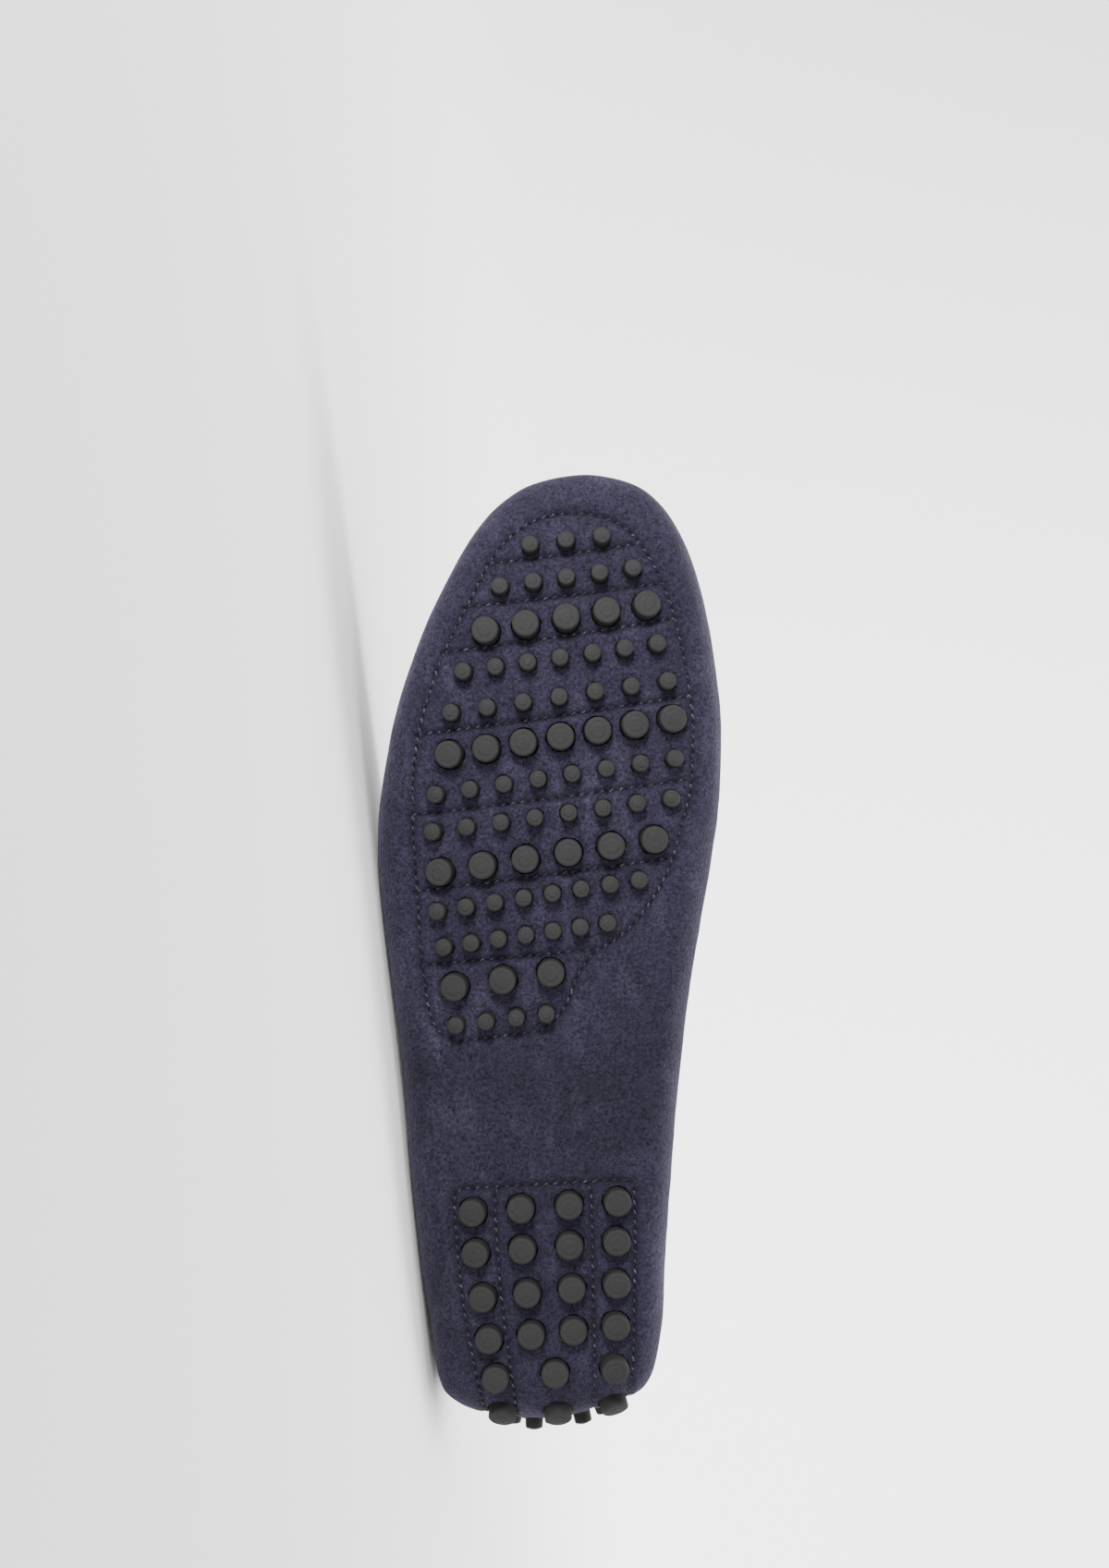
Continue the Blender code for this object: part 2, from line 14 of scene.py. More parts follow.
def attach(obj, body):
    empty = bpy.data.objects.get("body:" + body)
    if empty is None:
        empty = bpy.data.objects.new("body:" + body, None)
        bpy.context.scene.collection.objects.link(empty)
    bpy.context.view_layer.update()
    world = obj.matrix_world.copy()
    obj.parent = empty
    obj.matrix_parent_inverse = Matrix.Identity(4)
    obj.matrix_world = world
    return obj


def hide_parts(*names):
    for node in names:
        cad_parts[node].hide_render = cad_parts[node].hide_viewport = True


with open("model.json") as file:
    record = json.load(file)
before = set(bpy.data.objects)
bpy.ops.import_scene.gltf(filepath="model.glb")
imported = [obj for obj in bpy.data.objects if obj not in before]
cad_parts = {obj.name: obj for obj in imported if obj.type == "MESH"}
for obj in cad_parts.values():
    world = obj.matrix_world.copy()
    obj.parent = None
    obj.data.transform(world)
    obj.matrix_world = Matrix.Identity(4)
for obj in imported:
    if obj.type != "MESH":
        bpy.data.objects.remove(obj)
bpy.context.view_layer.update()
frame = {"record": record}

# The suede wrap
# One piece of navy suede, 1.8 mm thick, drawn up round the last from under the foot to the
# raised toe seam and the topline. It is punched where the rubber pebbles poke through.
LENGTH = 0.288
BALL_WIDTH = 0.103
HALF_BALL = BALL_WIDTH / 2
INSTEP_HEIGHT = 0.060
TOE_SPRING = 0.012
ARCH_RISE = 0.002
HEEL_RISE = 0.0015
WALL = 0.0018
EDGE_INSET = 0.0095
EDGE_HEIGHT = 0.0110
HEEL_ROUND = 0.0160
HEEL_EDGE = 0.0150
TOE_EDGE = 0.0120
HEEL_LEAN = 0.0040
TOE_LEAN = 0.0170
WALL_CURVE = 2.3
SEAM_RIDGE = 0.0026
TOPLINE_LIP = 0.0012
THROAT = 0.52
THROAT_BLEND = 0.03

# Plan outline of the last: shares of the length and of half the ball width
Outline = namedtuple("Outline", "station half_width centre")
OUTLINE = (
    Outline(0.000, 0.000, -0.130),
    Outline(0.004, 0.235, -0.130),
    Outline(0.015, 0.440, -0.110),
    Outline(0.033, 0.590, -0.070),
    Outline(0.055, 0.640, -0.055),
    Outline(0.095, 0.678, -0.050),
    Outline(0.170, 0.724, -0.072),
    Outline(0.290, 0.781, -0.084),
    Outline(0.405, 0.839, -0.082),
    Outline(0.525, 0.932, -0.078),
    Outline(0.600, 0.988, -0.057),
    Outline(0.640, 1.000, -0.039),
    Outline(0.720, 0.977, 0.003),
    Outline(0.800, 0.893, 0.046),
    Outline(0.875, 0.769, 0.096),
    Outline(0.950, 0.560, 0.138),
    Outline(0.986, 0.345, 0.160),
    Outline(1.000, 0.000, 0.172),
)

# Upper edge: shares of the instep height and of the outline's half width
Rim = namedtuple("Rim", "station height narrow crown")
RIM = (
    Rim(0.00, 1.05, 0.85, 0.00),
    Rim(0.08, 1.02, 0.83, 0.00),
    Rim(0.18, 0.92, 0.79, 0.00),
    Rim(0.30, 0.82, 0.75, 0.00),
    Rim(0.42, 0.86, 0.70, 0.08),
    Rim(0.52, 0.98, 0.66, 0.15),
    Rim(0.60, 0.90, 0.66, 0.15),
    Rim(0.70, 0.78, 0.67, 0.14),
    Rim(0.80, 0.69, 0.68, 0.12),
    Rim(0.90, 0.63, 0.68, 0.09),
    Rim(1.00, 0.60, 0.68, 0.06),
)

# Underside: how much of the heel rise, arch rise and toe spring it has along the foot
Underside = namedtuple("Underside", "station heel arch toe")
UNDERSIDE = (
    Underside(0.00, 1.00, 0.00, 0.00),
    Underside(0.04, 0.20, 0.00, 0.00),
    Underside(0.06, 0.00, 0.00, 0.00),
    Underside(0.27, 0.00, 0.00, 0.00),
    Underside(0.36, 0.00, 1.00, 0.00),
    Underside(0.43, 0.00, 0.70, 0.00),
    Underside(0.51, 0.00, 0.00, 0.00),
    Underside(0.71, 0.00, 0.00, 0.00),
    Underside(0.80, 0.00, 0.00, 0.13),
    Underside(0.90, 0.00, 0.00, 0.48),
    Underside(1.00, 0.00, 0.00, 1.00),
)


def smooth_curve(rows, column):
    """Cubic through the rows of a table, with no overshoot between them."""
    places = np.array([row[0] for row in rows])
    values = np.array([getattr(row, column) for row in rows])
    steps = np.diff(places)
    slopes = np.diff(values) / steps
    tangents = np.zeros(len(rows))
    tangents[0] = slopes[0]
    tangents[-1] = slopes[-1]
    for row in range(1, len(rows) - 1):
        before = slopes[row - 1]
        after = slopes[row]
        if before * after > 0:
            tangents[row] = 2 * before * after / (before + after)

    def value(place):
        place = min(max(place, places[0]), places[-1])
        row = min(int(np.searchsorted(places, place, side="right")) - 1, len(rows) - 2)
        part = (place - places[row]) / steps[row]
        start = (1 + 2 * part) * (1 - part) ** 2 * values[row]
        end = part ** 2 * (3 - 2 * part) * values[row + 1]
        leave = part * (1 - part) ** 2 * steps[row] * tangents[row]
        arrive = part ** 2 * (part - 1) * steps[row] * tangents[row + 1]
        return start + end + leave + arrive

    return value


width_curve = smooth_curve([row._replace(half_width=row.half_width ** 2) for row in OUTLINE],
                           "half_width")
centre_curve = smooth_curve(OUTLINE, "centre")
rim_height_curve = smooth_curve(RIM, "height")
rim_narrow_curve = smooth_curve(RIM, "narrow")
crown_curve = smooth_curve(RIM, "crown")
heel_rise_curve = smooth_curve(UNDERSIDE, "heel")
arch_curve = smooth_curve(UNDERSIDE, "arch")
toe_spring_curve = smooth_curve(UNDERSIDE, "toe")


def underside_height(x):
    share = x / LENGTH
    rise = HEEL_RISE * heel_rise_curve(share) + ARCH_RISE * arch_curve(share)
    return LARGE_PROUD + rise + TOE_SPRING * toe_spring_curve(share)


def plan_point(share, side, narrow, heel_in, toe_in):
    """Place on the outline, narrowed across and drawn in at the heel and toe."""
    half = HALF_BALL * math.sqrt(max(width_curve(share), 0.0))
    x = heel_in + share * (LENGTH - heel_in - toe_in)
    return x, HALF_BALL * centre_curve(share) + side * narrow * half


def feather_point(share, side):
    """Where the flat underside starts to roll up."""
    x, y = plan_point(share, side, 1 - EDGE_INSET / HALF_BALL, HEEL_EDGE, TOE_EDGE)
    return Vector((x, y, underside_height(x)))


def widest_point(share, side):
    x, y = plan_point(share, side, 1.0, 0.0, 0.0)
    rise = EDGE_HEIGHT + (HEEL_ROUND - EDGE_HEIGHT) * heel_rise_curve(share)
    return Vector((x, y, feather_point(share, side).z + rise))


def rim_point(share, side):
    """Top of the wall: the toe seam in front of the throat, the topline behind it."""
    x, y = plan_point(share, side, rim_narrow_curve(share), HEEL_LEAN, TOE_LEAN)
    return Vector((x, y, INSTEP_HEIGHT * rim_height_curve(share)))


def lip_point(share, side):
    blend = min(max((share - THROAT + THROAT_BLEND) / (2 * THROAT_BLEND), 0.0), 1.0)
    lip = TOPLINE_LIP + (SEAM_RIDGE - TOPLINE_LIP) * blend
    return rim_point(share, side) + Vector((0, 0, lip))


def skin_point(share, side, level):
    """Point of the wrap: level 0 to 1 rolls up from the feather, 1 to 2 climbs the wall."""
    if level < 1:
        low = feather_point(share, side)
        out = widest_point(share, side)
        angle = level * math.pi / 2
        point = low.lerp(out, math.sin(angle))
        point.z = low.z + (out.z - low.z) * (1 - math.cos(angle))
        return point
    low = widest_point(share, side)
    top = rim_point(share, side)
    point = low.lerp(top, (level - 1) ** WALL_CURVE)
    point.z = low.z + (top.z - low.z) * (level - 1)
    return point


def ring_places(stations):
    """Round the shoe from the heel up the inner side to the toe and back down the outer side."""
    shares = [(1 - math.cos(math.pi * step / stations)) / 2 for step in range(stations + 1)]
    return [(share, 1) for share in shares] + [(share, -1) for share in reversed(shares[1:-1])]


# Rows of the fine skin, about 1.1 mm apart; the inner face has half as many
STATIONS = 400
COLUMNS = 78
EDGE_STEPS = 8
WALL_STEPS = 18
LIP_STEPS = 2


def wrap_skin(stations, columns, edge_steps, wall_steps, lip_steps):
    """Face of the wrap as a closed-bottomed bowl: rings first, then rows underfoot."""
    places = ring_places(stations)
    around = len(places)
    levels = [step / edge_steps for step in range(edge_steps)]
    levels += [1 + step / wall_steps for step in range(wall_steps + 1)]
    vertices = [skin_point(*place, level) for level in levels for place in places]
    for step in range(1, lip_steps + 1):
        vertices += [rim_point(*place).lerp(lip_point(*place), step / lip_steps)
                     for place in places]
    rings = len(levels) + lip_steps
    faces = []
    for level in range(rings - 1):
        for step in range(around):
            after = (step + 1) % around
            low = level * around
            faces.append((low + step, low + after, low + around + after, low + around + step))
    rows = []
    for step in range(1, stations):
        start = len(vertices)
        outer = vertices[around - step]
        inner = vertices[step]
        vertices += [outer.lerp(inner, column / columns) for column in range(1, columns)]
        rows.append([around - step] + list(range(start, start + columns - 1)) + [step])
    for low, high in zip(rows, rows[1:]):
        for column in range(columns):
            faces.append((low[column], high[column], high[column + 1], low[column + 1]))
    for column in range(columns):
        faces.append((0, rows[0][column], rows[0][column + 1]))
        faces.append((stations, rows[-1][column + 1], rows[-1][column]))
    return vertices, faces


# Pebbles of both pads, whose holes the wrap has, as in the frame
LARGE_DIAMETER = 0.0085
SMALL_DIAMETER = 0.0054
LARGE_PROUD = 0.0033
SMALL_PROUD = 0.0033
HOLE_CLEARANCE = {"large": 0.0004, "small": 0.0002}
SPLAY_ALONG = 0.003
SPLAY_ACROSS = 0.018
SPLAY_START = 0.5
SOLE_MIDDLE = Vector((0.1963, 0.0, 0.0))
HEEL_FAN = 0.020
HEEL_PAD_TOP = 0.039
PebbleRow = namedtuple("PebbleRow", "outer_station outer inner_station inner count size")
FOREFOOT_PEBBLES = (
    PebbleRow(0.419, -0.581, 0.431, -0.048, 4, "small"),
    PebbleRow(0.459, -0.592, 0.474, -0.022, 3, "large"),
    PebbleRow(0.501, -0.651, 0.526, 0.312, 7, "small"),
    PebbleRow(0.538, -0.689, 0.571, 0.495, 8, "small"),
    PebbleRow(0.579, -0.679, 0.613, 0.587, 6, "large"),
    PebbleRow(0.621, -0.716, 0.656, 0.684, 8, "small"),
    PebbleRow(0.660, -0.699, 0.698, 0.705, 8, "small"),
    PebbleRow(0.702, -0.624, 0.739, 0.694, 7, "large"),
    PebbleRow(0.745, -0.608, 0.778, 0.662, 7, "small"),
    PebbleRow(0.788, -0.538, 0.817, 0.603, 7, "small"),
    PebbleRow(0.831, -0.409, 0.858, 0.544, 5, "large"),
    PebbleRow(0.877, -0.323, 0.896, 0.460, 5, "small"),
    PebbleRow(0.921, -0.146, 0.930, 0.277, 3, "small"),
)
HeelRow = namedtuple("HeelRow", "outer_run outer inner_run inner count size")
HEEL_PEBBLES = (
    HeelRow(-2.215, -0.485, -2.375, 0.371, 4, "large"),
    HeelRow(-1.595, -0.468, -1.780, 0.366, 4, "large"),
    HeelRow(-0.925, -0.426, -1.140, 0.366, 4, "large"),
    HeelRow(-0.305, -0.387, -0.505, 0.361, 4, "large"),
    HeelRow(0.264, -0.345, 0.120, 0.350, 3, "large"),
    HeelRow(0.860, -0.305, 0.840, 0.340, 3, "large"),
    HeelRow(1.270, -0.125, 1.270, 0.155, 2, "small"),
    HeelRow(1.700, -0.280, 1.700, 0.300, 3, "large"),
    HeelRow(2.110, -0.125, 2.110, 0.145, 2, "small"),
)

# Edges of the two pads, which the stitching follows
PadEdge = namedtuple("PadEdge", "station outer inner")
FOREFOOT_EDGE = (
    PadEdge(0.402, -0.560, -0.300),
    PadEdge(0.412, -0.680, -0.100),
    PadEdge(0.440, -0.740, 0.066),
    PadEdge(0.468, -0.762, 0.126),
    PadEdge(0.495, -0.780, 0.230),
    PadEdge(0.513, -0.788, 0.390),
    PadEdge(0.546, -0.798, 0.552),
    PadEdge(0.588, -0.814, 0.678),
    PadEdge(0.630, -0.828, 0.743),
    PadEdge(0.672, -0.828, 0.798),
    PadEdge(0.725, -0.792, 0.809),
    PadEdge(0.767, -0.728, 0.788),
    PadEdge(0.805, -0.656, 0.754),
    PadEdge(0.865, -0.492, 0.667),
    PadEdge(0.913, -0.350, 0.540),
    PadEdge(0.935, -0.235, 0.448),
    PadEdge(0.950, -0.100, 0.320),
    PadEdge(0.956, 0.030, 0.190),
)
HeelEdge = namedtuple("HeelEdge", "run outer inner skew")
HEEL_EDGE_ROWS = (
    HeelEdge(-2.580, -0.535, 0.415, 0.14),
    HeelEdge(-2.480, -0.585, 0.465, 0.13),
    HeelEdge(-1.600, -0.565, 0.470, 0.12),
    HeelEdge(-0.800, -0.530, 0.465, 0.12),
    HeelEdge(0.000, -0.475, 0.460, 0.12),
    HeelEdge(0.600, -0.430, 0.440, 0.08),
    HeelEdge(1.200, -0.400, 0.410, 0.02),
    HeelEdge(1.900, -0.370, 0.380, 0.00),
    HeelEdge(2.350, -0.300, 0.310, 0.00),
)
forefoot_outer = smooth_curve(FOREFOOT_EDGE, "outer")
forefoot_inner = smooth_curve(FOREFOOT_EDGE, "inner")
heel_outer = smooth_curve(HEEL_EDGE_ROWS, "outer")
heel_inner = smooth_curve(HEEL_EDGE_ROWS, "inner")
heel_skew = smooth_curve(HEEL_EDGE_ROWS, "skew")
HEEL_FIRST = HEEL_EDGE_ROWS[0].run
HEEL_LAST = math.pi / 2 + (HEEL_PAD_TOP - LARGE_PROUD - HEEL_FAN) / HEEL_FAN

plain_vertices, wrap_faces = wrap_skin(STATIONS, COLUMNS, EDGE_STEPS, WALL_STEPS, LIP_STEPS)
plain_tree = BVHTree.FromPolygons(plain_vertices, wrap_faces)


def meet(tree, origin, direction):
    """Point of a skin that a line from inside meets, with its outward normal."""
    place, normal = tree.ray_cast(origin, direction)[:2]
    if normal.dot(direction) < 0:
        normal = -normal
    return place, normal


def under_foot(station, across, tree=plain_tree):
    origin = Vector((station * LENGTH, across * HALF_BALL, LARGE_PROUD + HEEL_FAN))
    return meet(tree, origin, Vector((0, 0, -1)))


def round_heel(run, across, tree=plain_tree):
    """Point along the heel pad: flat under the foot, round the heel, then up its back."""
    height = LARGE_PROUD + HEEL_FAN
    y = across * HALF_BALL
    quarter = math.pi / 2
    if run < 0:
        return meet(tree, Vector((HEEL_FAN * (1 - run), y, height)), Vector((0, 0, -1)))
    if run > quarter:
        origin = Vector((HEEL_FAN, y, height + HEEL_FAN * (run - quarter)))
        return meet(tree, origin, Vector((-1, 0, 0)))
    return meet(tree, Vector((HEEL_FAN, y, height)), Vector((-math.sin(run), 0, -math.cos(run))))


def row_places(row, locate):
    """Root and axis of each pebble of a row; they splay a little from the middle of the sole."""
    for step in range(row.count):
        part = step / (row.count - 1)
        along = row[0] + (row[2] - row[0]) * part
        place, normal = locate(along, row.outer + (row.inner - row.outer) * part)
        away = (place - SOLE_MIDDLE) * min(max(place.x / HEEL_FAN - SPLAY_START, 0.0), 1.0)
        splay = Vector((away.x * SPLAY_ALONG, away.y * SPLAY_ACROSS, 0))
        splay -= normal * normal.dot(splay)
        yield place - splay, (normal * LARGE_PROUD + splay).normalized()


def forefoot_place(station, part, tree=plain_tree):
    """Point of the forefoot pad, part of the way from its outer to its inner edge."""
    across = forefoot_outer(station) * (1 - part) + forefoot_inner(station) * part
    return under_foot(station, across, tree)


def heel_pad_place(run, part, tree=plain_tree):
    """Point of the heel pad, part of the way from its outer to its inner edge."""
    across = heel_outer(run) * (1 - part) + heel_inner(run) * part
    return round_heel(run - heel_skew(run) * part, across, tree)


# Stitch lines of the pads. Cross seams end on the outline, and the heel has two along it
CrossSeam = namedtuple("CrossSeam", "outer_station inner_station bow")
CROSS_SEAMS = (
    CrossSeam(0.9026, 0.9240, 0.0010),
    CrossSeam(0.8570, 0.8815, 0.0012),
    CrossSeam(0.8090, 0.8447, 0.0015),
    CrossSeam(0.7229, 0.7635, 0.0015),
    CrossSeam(0.6387, 0.6764, 0.0012),
    CrossSeam(0.5594, 0.5942, 0.0010),
    CrossSeam(0.4821, 0.4993, 0.0005),
)
HEEL_SEAM_PARTS = (0.225, 0.760)
SEAM_SAMPLES = 160
SEAM_OVERRUN = 0.012
FOREFOOT_SKEW = 0.0105
HEEL_OVERRUN = 0.13


def seam_paths(tree):
    """Every stitch line as a list of places with normals, on the given skin."""
    first = FOREFOOT_EDGE[0].station
    last = FOREFOOT_EDGE[-1].station
    parts = np.linspace(0, 1, SEAM_SAMPLES)
    eased = (1 - np.cos(math.pi * parts)) / 2
    inner = first + FOREFOOT_SKEW + (last - first - FOREFOOT_SKEW) * eased
    outer = last - (last - first) * eased
    start = forefoot_outer(first)
    end = forefoot_inner(first + FOREFOOT_SKEW)
    loop = [under_foot(station, forefoot_inner(station), tree) for station in inner]
    loop += [forefoot_place(last, 1 - part, tree) for part in parts]
    loop += [under_foot(station, forefoot_outer(station), tree) for station in outer]
    loop += [under_foot(first + FOREFOOT_SKEW * part, start + (end - start) * part, tree)
             for part in parts]
    paths = [loop]
    for seam in CROSS_SEAMS:
        start = forefoot_outer(seam.outer_station)
        end = forefoot_inner(seam.inner_station)
        path = []
        for part in np.linspace(-SEAM_OVERRUN, 1 + SEAM_OVERRUN, SEAM_SAMPLES):
            station = seam.outer_station * (1 - part) + seam.inner_station * part
            station -= seam.bow * 4 * part * (1 - part)
            path.append(under_foot(station, start * (1 - part) + end * part, tree))
        paths.append(path)
    runs = HEEL_FIRST + (HEEL_LAST - HEEL_FIRST) * eased
    loop = [heel_pad_place(run, 0, tree) for run in runs]
    loop += [heel_pad_place(HEEL_LAST, part, tree) for part in np.linspace(0, 1, SEAM_SAMPLES)]
    loop += [heel_pad_place(run, 1, tree) for run in runs[::-1]]
    loop += [heel_pad_place(HEEL_FIRST, part, tree) for part in np.linspace(1, 0, SEAM_SAMPLES)]
    paths.append(loop)
    runs[0] -= HEEL_OVERRUN
    for part in HEEL_SEAM_PARTS:
        paths.append([heel_pad_place(run, part, tree) for run in runs])
    return paths


# Relief of the suede: troughs under the stitching, lips round the holes, soft ridges and
# creases along the sides, and the gathers below the toe seam
TROUGH_DEPTH = 0.00065
TROUGH_WIDTH = 0.0011
PUCKER = 0.00016
PUCKER_WIDTH = 0.0032
STITCH_PITCH = 0.0030
HOLE_LIP = 0.00022
HOLE_LIP_WIDTH = 0.0011
# Painted shade round the edge of each hole, at its darkest
HOLE_SHADE = 0.8
# Painted sheen up the suede's rolled edge, and painted shade across the waist
EDGE_SHEEN_RISE = 0.0060
WAIST_STATION = 0.33
WAIST_REACH = 0.075
WAIST_SHADE = 0.85
SWELL = 0.00035
SWELL_SIZE = 0.024
SWELL_SHIFT = Vector((3.7, 1.3, 8.1))
SOLE_CALM = 0.25
RIPPLE = 0.00010
RIPPLE_SIZE = 0.007
GATHER_PITCH = 0.0052
GATHER_DEPTH = 0.00045
GATHER_REACH = 0.012
GATHER_START = 0.70
GATHER_BUILD = 0.12
GATHER_LEAN = 0.6
GATHER_MIDDLE = 0.80
GATHER_ROUND = 0.66

# Creases: from and to, as share, side and level of the wrap; plus stands out, minus sinks in
Crease = namedtuple("Crease", "share level end_share end_level side depth width")
CREASES = (
    Crease(0.630, 0.55, 0.830, 0.42, 1, 0.00045, 0.0016),
    Crease(0.640, 0.34, 0.820, 0.22, 1, -0.00030, 0.0022),
    Crease(0.560, 1.10, 0.640, 1.55, 1, -0.00090, 0.0034),
    Crease(0.600, 1.05, 0.690, 1.45, 1, -0.00060, 0.0028),
    Crease(0.530, 1.15, 0.620, 1.62, -1, -0.00090, 0.0034),
    Crease(0.590, 1.10, 0.680, 1.50, -1, -0.00060, 0.0030),
    Crease(0.330, 1.20, 0.430, 1.50, 1, -0.00050, 0.0045),
    Crease(0.300, 1.25, 0.420, 1.60, -1, -0.00050, 0.0045),
    Crease(0.050, 1.30, 0.150, 1.42, 1, -0.00050, 0.0038),
    Crease(0.045, 1.35, 0.160, 1.45, -1, -0.00045, 0.0038),
)
CREASE_SAMPLES = 40

# Patches underfoot where the suede is paler (plus) or darker (minus); those marked below are
# painted light and shade
Patch = namedtuple("Patch", "station across along_reach across_reach tone")
PATCHES = (
    Patch(0.347, 0.22, 0.030, 0.20, -0.45),
    Patch(0.303, 0.20, 0.018, 0.30, -0.40),
    Patch(0.371, -0.74, 0.014, 0.09, -0.90),
    Patch(0.405, -0.44, 0.010, 0.30, 0.55),
    Patch(0.415, 0.10, 0.014, 0.16, 0.30),
    Patch(0.310, -0.42, 0.016, 0.12, 0.15),
    Patch(0.280, -0.75, 0.024, 0.08, 0.60),
    Patch(0.272, 0.50, 0.022, 0.09, 0.70),
    Patch(0.330, 0.27, 0.008, 0.07, 0.45),
    # painted light on the heel's inner side
    Patch(0.190, 0.64, 0.060, 0.10, 1.00),
    # painted shade over the heel
    Patch(0.130, -0.10, 0.120, 0.60, -0.40),
    # painted shade on the heel's outer side
    Patch(0.130, -0.64, 0.080, 0.12, -0.80),
    # painted light over the forefoot
    Patch(0.680, -0.10, 0.180, 0.60, 0.50),
    Patch(0.985, 0.15, 0.040, 0.90, -0.35),
    Patch(0.430, 0.52, 0.045, 0.22, -0.60),
    Patch(0.975, 0.15, 0.020, 0.30, 0.35),
    Patch(0.700, 0.90, 0.100, 0.06, 0.35),
    Patch(0.560, -0.90, 0.050, 0.06, 0.30),
)


def path_runs(path):
    """Distance along a path at each of its places."""
    spots = np.array([tuple(place) for place, _ in path])
    steps = np.linalg.norm(np.diff(spots, axis=0), axis=1)
    return spots, np.concatenate(([0.0], np.cumsum(steps)))


def near_tree(points):
    tree = KDTree(len(points))
    for index, point in enumerate(points):
        tree.insert(point, index)
    tree.balance()
    return tree


def relief(vertices):
    """How far each point of the skin stands out, and how much painted shade it gets in a seam's
    trough and round a hole.
    """
    sewn = []
    for path in seam_paths(plain_tree):
        spots, runs = path_runs(path)
        pitch = runs[-1] / max(round(runs[-1] / STITCH_PITCH), 1)
        sewn += [(Vector(spot), run / pitch) for spot, run in zip(spots, runs)]
    seams = near_tree([spot for spot, _ in sewn])
    pebbles = []
    for rows, locate in ((FOREFOOT_PEBBLES, under_foot), (HEEL_PEBBLES, round_heel)):
        for row in rows:
            reach = (LARGE_DIAMETER if row.size == "large" else SMALL_DIAMETER) / 2
            reach += HOLE_CLEARANCE[row.size]
            pebbles += [(place, reach) for place, _ in row_places(row, locate)]
    studs = near_tree([place for place, _ in pebbles])
    creases = []
    for crease in CREASES:
        for part in np.linspace(0, 1, CREASE_SAMPLES):
            share = crease.share * (1 - part) + crease.end_share * part
            level = crease.level * (1 - part) + crease.end_level * part
            fade = math.sin(math.pi * part)
            creases.append((skin_point(share, crease.side, level), fade, crease))
    lines = near_tree([point for point, _, _ in creases])
    lip = near_tree([lip_point(*place) for place in ring_places(STATIONS)])
    raised = np.zeros(len(vertices))
    shade = np.zeros(len(vertices))
    for index, point in enumerate(vertices):
        _, nearest, away = seams.find(point)
        trough = math.exp(-(away / TROUGH_WIDTH) ** 2)
        raised[index] -= TROUGH_DEPTH * trough
        if away < 3 * PUCKER_WIDTH:
            wave = -math.cos(2 * math.pi * sewn[nearest][1])
            raised[index] += PUCKER * wave * math.exp(-(away / PUCKER_WIDTH) ** 2)
        _, nearest, gap = studs.find(point)
        gap -= pebbles[nearest][1]
        if gap < 6 * HOLE_LIP_WIDTH:
            edge = math.exp(-(max(gap, 0) / HOLE_LIP_WIDTH) ** 2)
            raised[index] += HOLE_LIP * edge
            trough = max(trough, HOLE_SHADE * edge ** 3)
        # Painted shade along the seam troughs and round the holes
        shade[index] = trough
        for _, near, gap in lines.find_n(point, 2):
            _, fade, crease = creases[near]
            raised[index] += crease.depth * fade * math.exp(-(gap / crease.width) ** 2) / 2
        calm = min(max((point.z - LARGE_PROUD) / EDGE_HEIGHT, SOLE_CALM), 1.0)
        raised[index] += calm * SWELL * noise.noise(point / SWELL_SIZE + SWELL_SHIFT)
        raised[index] += calm * RIPPLE * noise.noise(point / RIPPLE_SIZE)
        if point.x > GATHER_START * LENGTH:
            gap = lip.find(point)[2]
            if gap < GATHER_REACH:
                build = min((point.x / LENGTH - GATHER_START) / GATHER_BUILD, 1.0)
                fade = math.sin(math.pi * (gap / GATHER_REACH) ** GATHER_LEAN) * build
                raised[index] += GATHER_DEPTH * fade * math.cos(gather_phase(point))
    return raised, shade


def nap_and_painted_light_tone(point):
    """How much paler (plus) or darker (minus) the suede is painted at a point: paler from the
    underside up the rolled edge and over the walls as painted sheen, darker across the waist as
    painted shade, and the patches underfoot.
    """
    # Painted sheen: paler from the flat underside up the rolled edge and over the walls
    edge = (point.z - underside_height(point.x)) / EDGE_SHEEN_RISE
    edge = min(max(edge, 0.0), 1.0)
    station = point.x / LENGTH
    across = point.y / HALF_BALL
    # Painted shade: darker across the waist under the arch
    tone = edge - WAIST_SHADE * math.exp(-((station - WAIST_STATION) / WAIST_REACH) ** 2)
    if point.z < underside_height(point.x) + EDGE_HEIGHT:
        for patch in PATCHES:
            away = ((station - patch.station) / patch.along_reach) ** 2
            away += ((across - patch.across) / patch.across_reach) ** 2
            if away < 9:
                tone += patch.tone * math.exp(-away)
    return tone


def gather_phase(point):
    """Turn of the gathers at a point, one for each hand stitch round the toe."""
    middle = Vector((GATHER_MIDDLE * LENGTH, HALF_BALL * centre_curve(GATHER_MIDDLE)))
    angle = math.atan2(point.y - middle.y, point.x - middle.x)
    return angle * HALF_BALL * GATHER_ROUND / GATHER_PITCH * 2 * math.pi


def local_mesh(name, vertices, faces):
    mesh = bpy.data.meshes.new(name)
    mesh.from_pydata([tuple(point) for point in vertices], [], faces)
    return mesh


def outward_mesh(name, vertices, faces, outward):
    """Mesh whose faces look along the given direction on the whole."""
    mesh = local_mesh(name, vertices, faces)
    sheet = bmesh.new()
    sheet.from_mesh(mesh)
    bmesh.ops.recalc_face_normals(sheet, faces=sheet.faces)
    if sum((face.normal * face.calc_area() for face in sheet.faces), Vector()).dot(outward) < 0:
        bmesh.ops.reverse_faces(sheet, faces=sheet.faces)
    sheet.to_mesh(mesh)
    sheet.free()
    return mesh


# The shoe lies on its outer side, where the frame's two treads say
HEEL_TREAD_RUN = 1.65667
HEEL_TREAD_ACROSS = -0.190
BALL_TREAD_STATION = 0.59940
BALL_TREAD_ACROSS = 0.0806
HEEL_TREAD = Vector((HEEL_FAN * (1 + HEEL_TREAD_RUN), HEEL_TREAD_ACROSS * HALF_BALL, 0))
BALL_TREAD = Vector((BALL_TREAD_STATION * LENGTH, BALL_TREAD_ACROSS * HALF_BALL, 0))


